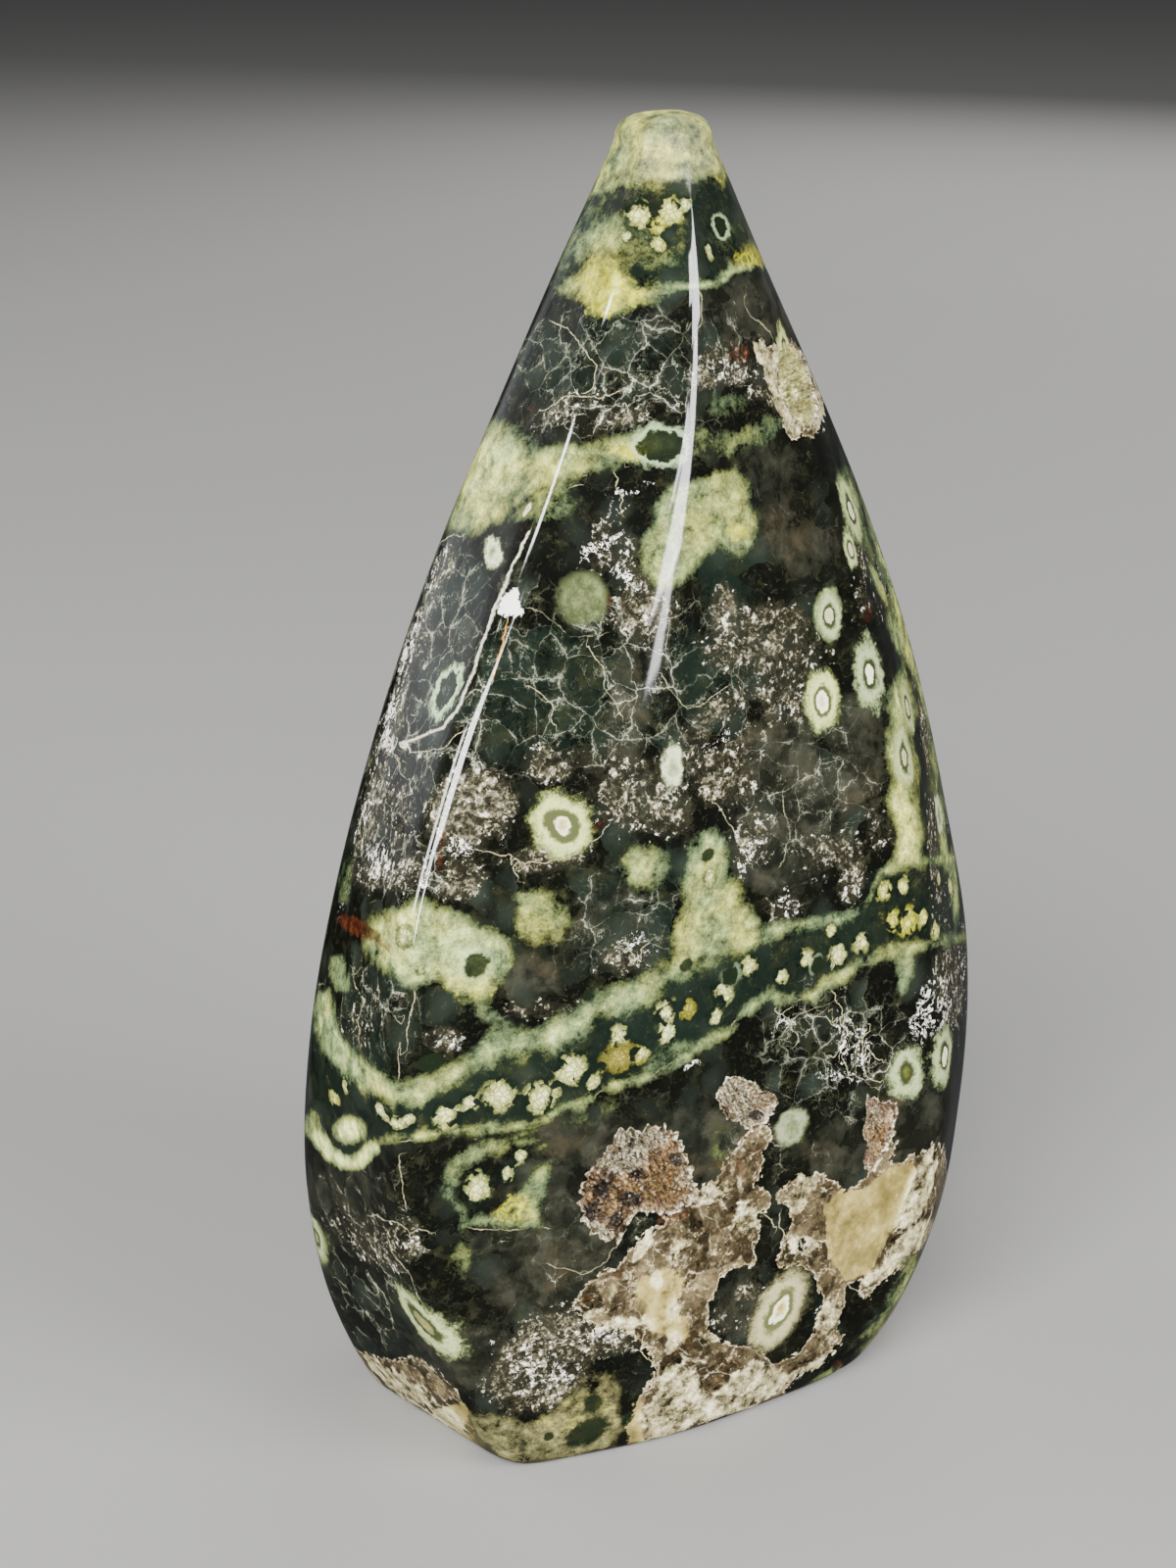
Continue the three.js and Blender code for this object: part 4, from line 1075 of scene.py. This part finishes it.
halo_beige = ramp(halo_tone, 0.4, 1.25, "#82805a", "#b3ae82", "#969068", "#5c5a3c", "#24241a")
halo_paint = mix(step(0.85, 0.95, tint), halo_paint, halo_beige)
core_paint = mix(hollow, "#f7f4cc", ramp(fuzz, -0.7, 0.7, "#2a3219", "#59602f", "#8d8f4c"))
core_paint = mix((1 - step(0.08, 0.26, eye)) * tint, core_paint, "#a8861c")
ring_at = eye - tint * 0.2 + step(0.85, 0.95, tint) * 0.1
core_at = eye - tint * 0.2 + step(0.65, 0.75, tint) * 0.12
eye_paint = mix(step(0.19, 0.26, core_at), core_paint, mix(tint, "#262e18", "#575c38"))
eye_paint = mix(step(0.32, 0.46, ring_at), eye_paint, halo_paint)
ragged = (fuzz * 0.3 + grain * 0.12) * (1.2 - tint)
body = mix(1 - step(0.74, 1.14, eye + ragged), body, eye_paint)

# rust stains and the polish
rust = step(0.5, 1, amount("rust") + sparks * 0.35 + fuzz * 0.2)
body = mix(rust * 0.8, body, ramp(fuzz + sparks * 0.4, -0.8, 0.8, "#140906", "#38190f", "#69391e"))
waves = noise(rock, 0.05, 2, 0.4)
relief = waves * 0.1 + fuzz * 0.002
bump = jasper.add("ShaderNodeBump", {}, {"Strength": 0.25, "Distance": 0.001, "Height": relief}, "Normal")
pit = amount("pit")
body = mix(pit, body, ramp(glitter, 0.1, 0.9, "#20160c", "#54442b", "#94805c"))
height = jasper.add("ShaderNodeSeparateXYZ", {}, {"Vector": rock}, "Z")
worn = step(132.5, 136, height + fuzz * 0.8)
rough = jasper.blend(pit, jasper.blend(worn, POLISH_ROUGHNESS, WORN_ROUGHNESS), PIT_ROUGHNESS)
jasper.wear({"Base Color": body, "Roughness": rough, "Normal": bump, "IOR": 1.46, "Specular IOR Level": SHINE})
stone.data.materials.append(jasper.material)

# ---------------------------------------------------------------- the vug crusts
# Sugary quartz points that grew on the walls of each open pocket. They are rooted on a thin crust
# over the pit's floor and stay just below the polished skin.
CRUST_GAP = 0.25
CRUST_SHEET = 0.2
CRUST_GRID = 44
CRYSTAL_SIDES = 6
CRYSTAL_WIDTHS = (0.16, 0.45)
CRYSTAL_HEIGHTS = (0.5, 1.5)
CRYSTAL_TAPERS = (0.05, 0.55)
CRUST_PAINTS = {
    "large_vug": ("#120c05", "#523c22", "#b8966a", 700), "tooth_vug": ("#1e1710", "#6b5a40", "#e0cfac", 200),
    "side_vug": ("#26170e", "#6b5038", "#cdb48a", 160), "shoulder_vug": ("#1e1c0c", "#8e8846", "#fdf6b2", 300),
}
CRUST_STAINS = {
    "frost": [(640, 1158, 14, 14), (664, 1158, 18, 14), (640, 1182, 26, 14, -30), (616, 1180, 8, 14, 30),
              (700, 1200, 10, 16, 30), (612, 1252, 20, 4, 30), (748, 1112, 20, 16, 20), (760, 1136, 10, 20),
              (893, 1140, 8, 14)],
    "iron": [(680, 1204, 26, 24), (622, 1222, 20, 16), (650, 1214, 20, 14), (700, 1222, 16, 14),
             (893, 1160, 12, 30)],
    # painted shade: near-black places stand for the shade inside holes among the crystals
    "hole": [(642, 1224, 13, 9), (628, 1246, 8, 9), (645, 1168, 3, 14, 10), (614, 1214, 14, 7, -40),
             (604, 1232, 6, 14), (690, 1183, 6, 8), (652, 1196, 10, 4, -30), (772, 1138, 8, 6)],
}


def skin_points(vug, flat):
    """Points of the unbroken skin over places of a vug's plane."""
    start = vug["centre"] + flat[:, :1] * vug["axes"][0] + flat[:, 1:] * vug["axes"][1]
    low, high = np.full(len(flat), -5.0), np.full(len(flat), 5.0)
    for _ in range(18):
        middle = (low + high) / 2
        p = start + middle[:, None] * vug["axes"][2] + OUTLINE_MIDDLE
        x = p[:, 0] - middle_at(p[:, 2])
        inside = np.hypot(x, p[:, 1]) < skin_radius(np.arctan2(p[:, 1], x), p[:, 2])
        low, high = np.where(inside, middle, low), np.where(inside, high, middle)
    return start + low[:, None] * vug["axes"][2]


def crust_finish(name, deep, middle, bright):
    """Quartz in three paints, with frosted and iron-stained places, and painted shade where holes go into the
    crust.
    """
    finish = Finish(name)
    tone = finish.noise(finish.place, 0.5, 5, 0.65)
    spots = finish.noise(finish.place, 3.0, 4, 0.65)
    colour = finish.ramp(tone * 0.9 + spots * 0.35, -0.8, 0.8, deep, middle, bright)
    frost = finish.step(0.35, 0.9, finish.amount("frost") + spots * 0.25 + tone * 0.3)
    frost_paint = finish.ramp(spots + tone * 0.6, -0.9, 0.9, "#2c271b", "#82785c", "#f3ecd4")
    colour = finish.mix(frost, colour, frost_paint)
    iron = finish.step(0.3, 1.0, finish.amount("iron") + tone * 0.4)
    colour = finish.mix(iron * 0.6, colour, finish.ramp(spots, -0.8, 0.8, "#1c1206", "#5c431c", "#c0a262"))
    # painted shade of the holes, near black
    hole_shade_mask = finish.step(0.45, 0.65, finish.amount("hole") + finish.noise(finish.place, 0.6, 4, 0.6) * 0.6)
    colour = finish.mix(hole_shade_mask * 0.9, colour, "#140b04")
    rough = finish.blend(finish.step(-0.3, 0.3, spots), 0.35, 0.7)
    finish.wear({"Base Color": colour, "Roughness": rough, "Specular IOR Level": SHINE})
    return finish.material


for name, vug in VUGS.items():
    deep, middle, bright, count = CRUST_PAINTS[name]
    crust = bmesh.new()
    bmesh.ops.create_grid(crust, x_segments=CRUST_GRID, y_segments=CRUST_GRID, size=1)
    flat = np.array([v.co[:2] for v in crust.verts])
    disc_x = flat[:, 0] * np.sqrt(1 - flat[:, 1] ** 2 / 2)
    disc_y = flat[:, 1] * np.sqrt(1 - flat[:, 0] ** 2 / 2)
    share = np.hypot(disc_x, disc_y)
    angle = np.arctan2(disc_y, disc_x)
    reach = (rim_reach(vug, angle) - CRUST_GAP) * share
    flat = np.stack([reach * np.cos(angle), reach * np.sin(angle)], -1)
    depth = pit_depth(vug, share, flat) - CRUST_GAP - 0.35 * chance.random(len(flat))
    depth -= 0.3 * np.sin(flat[:, 0] * 3.1 + flat[:, 1]) * np.sin(flat[:, 1] * 3.7 - flat[:, 0] * 0.8)
    depth = np.maximum(depth, 0.15)
    top = skin_points(vug, flat) - depth[:, None] * vug["axes"][2]
    for vertex, place in zip(crust.verts, top):
        vertex.co = place
    under = bmesh.ops.extrude_face_region(crust, geom=crust.faces[:], use_keep_orig=True)["geom"]
    for part in under:
        if isinstance(part, bmesh.types.BMVert):
            part.co -= Vector(vug["axes"][2]) * CRUST_SHEET
    # the side walls come out in no fixed order, so the faces are sorted by their corners
    crust.verts.index_update()
    for k, face in enumerate(sorted(crust.faces, key=lambda face: sorted(v.index for v in face.verts))):
        face.index = k
    crust.faces.sort()
    bmesh.ops.recalc_face_normals(crust, faces=crust.faces)
    turns = chance.uniform(0, 2 * math.pi, count)
    spread = np.sqrt(chance.random(count)) * 0.97
    reach = (rim_reach(vug, turns) - CRUST_GAP) * spread
    flat = np.stack([reach * np.cos(turns), reach * np.sin(turns)], -1)
    depth = pit_depth(vug, spread, flat) - CRUST_GAP
    feet = skin_points(vug, flat) - depth[:, None] * vug["axes"][2]
    for foot, (x, y), deep_here in zip(feet, flat, depth):
        width = chance.uniform(*CRYSTAL_WIDTHS)
        tall = min(chance.uniform(*CRYSTAL_HEIGHTS), max(deep_here * 0.85, 0.4))
        lean = vug["axes"][2] + chance.normal(0, 0.35, 3)
        lean = Vector(lean - vug["axes"][0] * x * 0.05 - vug["axes"][1] * y * 0.05).normalized()
        pose = Matrix.Translation(Vector(foot) + lean * tall * 0.5)
        pose @= lean.to_track_quat("Z", "Y").to_matrix().to_4x4()
        bmesh.ops.create_cone(crust, cap_ends=True, cap_tris=False, segments=CRYSTAL_SIDES, radius1=width,
                              radius2=width * chance.uniform(*CRYSTAL_TAPERS), depth=tall, matrix=pose)
    piece = new_piece(name + "_crystals", crust)
    crust_x, crust_y = picture_places(np.array([v.co for v in piece.data.vertices]))
    for stain, places in CRUST_STAINS.items():
        reach = np.min([oval_reach(crust_x - x, crust_y - y, *size) for x, y, *size in places], axis=0)
        write_amount(piece.data, stain, 1 - soft(0.5, 1.5, reach))
    piece.data.transform(Matrix.Scale(MM, 4))
    piece.data.materials.append(crust_finish(name + "_quartz", deep, middle, bright))
    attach(piece, "root")
    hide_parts(vug["node"])

# ---------------------------------------------------------------- the studio
# A pale plain floor, two soft lamps in front and two weaker ones behind, and narrow lit cards that
# show only in the polish, where they draw the bright lines along the ridges. The rest is dim.
STONE_MIDDLE = 0.07
FLOOR_HALF = 3
CARD_AWAY = 0.8
# bearing and lift in degrees, distance, width and height in metres, power in watts
LAMPS = {
    "left_softbox": (-145, 30, 0.9, 0.6, 0.6, 23.5),
    "right_softbox": (-65, 26, 1, 0.6, 0.6, 15),
    "back_right_softbox": (40, 28, 1.1, 0.8, 0.8, 9),
    "back_left_softbox": (140, 28, 1.1, 0.8, 0.8, 9),
    "high_ridge_card": (-62.7, 26.2, CARD_AWAY, 0.42, 0.406, 45),
    "high_side_card": (-84.1, 31.2, CARD_AWAY, 0.115, 0.262, 8),
    "middle_ridge_card": (-66, 7.5, CARD_AWAY, 0.18, 0.12, 6),
    "low_ridge_card": (-65, 0.5, CARD_AWAY, 0.06, 0.1, 1.2),
    "left_ridge_card": (-121, 16, CARD_AWAY, 0.28, 0.28, 34),
    "left_low_card": (-121, 1.5, CARD_AWAY, 0.05, 0.12, 3),
    "left_upper_card": (-146, 38.7, CARD_AWAY, 0.18, 0.042, 4),
    "left_edge_card": (-150, 16, CARD_AWAY, 0.2, 0.32, 19),
}


def new_sheet(name, half):
    """A square sheet of the studio."""
    mesh = bmesh.new()
    bmesh.ops.create_grid(mesh, x_segments=1, y_segments=1, size=half)
    return new_piece(name, mesh)


def face_stone(piece, out, distance):
    """Sets a lamp or a sheet out from the stone's middle, turned to face it."""
    piece.location = Vector((0, 0, STONE_MIDDLE)) + out * distance
    piece.rotation_euler = out.to_track_quat("Z", "Y").to_euler()


floor = new_sheet("floor", FLOOR_HALF)
plaster = Finish("floor")
plaster.wear({"Base Color": paint("#878684"), "Roughness": 0.7})
floor.data.materials.append(plaster.material)
floor.visible_glossy = False

for name, (bearing, lift, distance, width, height, power) in LAMPS.items():
    lamp = bpy.data.lights.new(name, "AREA")
    lamp.shape = "RECTANGLE"
    lamp.size, lamp.size_y, lamp.energy = width, height, power
    a, e = math.radians(bearing), math.radians(lift)
    piece = bpy.data.objects.new(name, lamp)
    face_stone(piece, Vector((math.cos(a) * math.cos(e), math.sin(a) * math.cos(e), math.sin(e))), distance)
    piece.visible_glossy = name.endswith("card")
    piece.visible_diffuse = not piece.visible_glossy
    bpy.context.scene.collection.objects.link(piece)

# a wide faint screen behind the left, seen only as a soft haze in the polish of the left face
screen = new_sheet("haze_screen", 0.5)
haze_bearing = math.radians(112)
face_stone(screen, Vector((math.cos(haze_bearing), math.sin(haze_bearing), 0.12)).normalized(), CARD_AWAY)
screen.visible_camera = screen.visible_diffuse = screen.visible_shadow = False
haze = Finish("haze_screen")
haze_length = haze.add("ShaderNodeVectorMath", {"operation": "LENGTH"}, {0: haze.place * 0.0033}, "Value")
streaks = haze.noise(haze.place, 0.02, 3, 0.5)
haze_power = (1 - haze.step(0.0, 1.0, haze_length + streaks * 0.5)) * (0.7 + streaks * 0.5)
haze_glow = haze.mix(haze_power, (0, 0, 0, 1), (0.9, 0.95, 1, 1))
haze.wear({"Base Color": (0, 0, 0, 1), "Emission Color": haze_glow, "Emission Strength": 2})
screen.data.materials.append(haze.material)

world = bpy.data.worlds.new("studio")
world.use_nodes = True
world.node_tree.nodes["Background"].inputs["Color"].default_value = (0.6, 0.61, 0.63, 1)
world.node_tree.nodes["Background"].inputs["Strength"].default_value = 0.12
bpy.context.scene.world = world
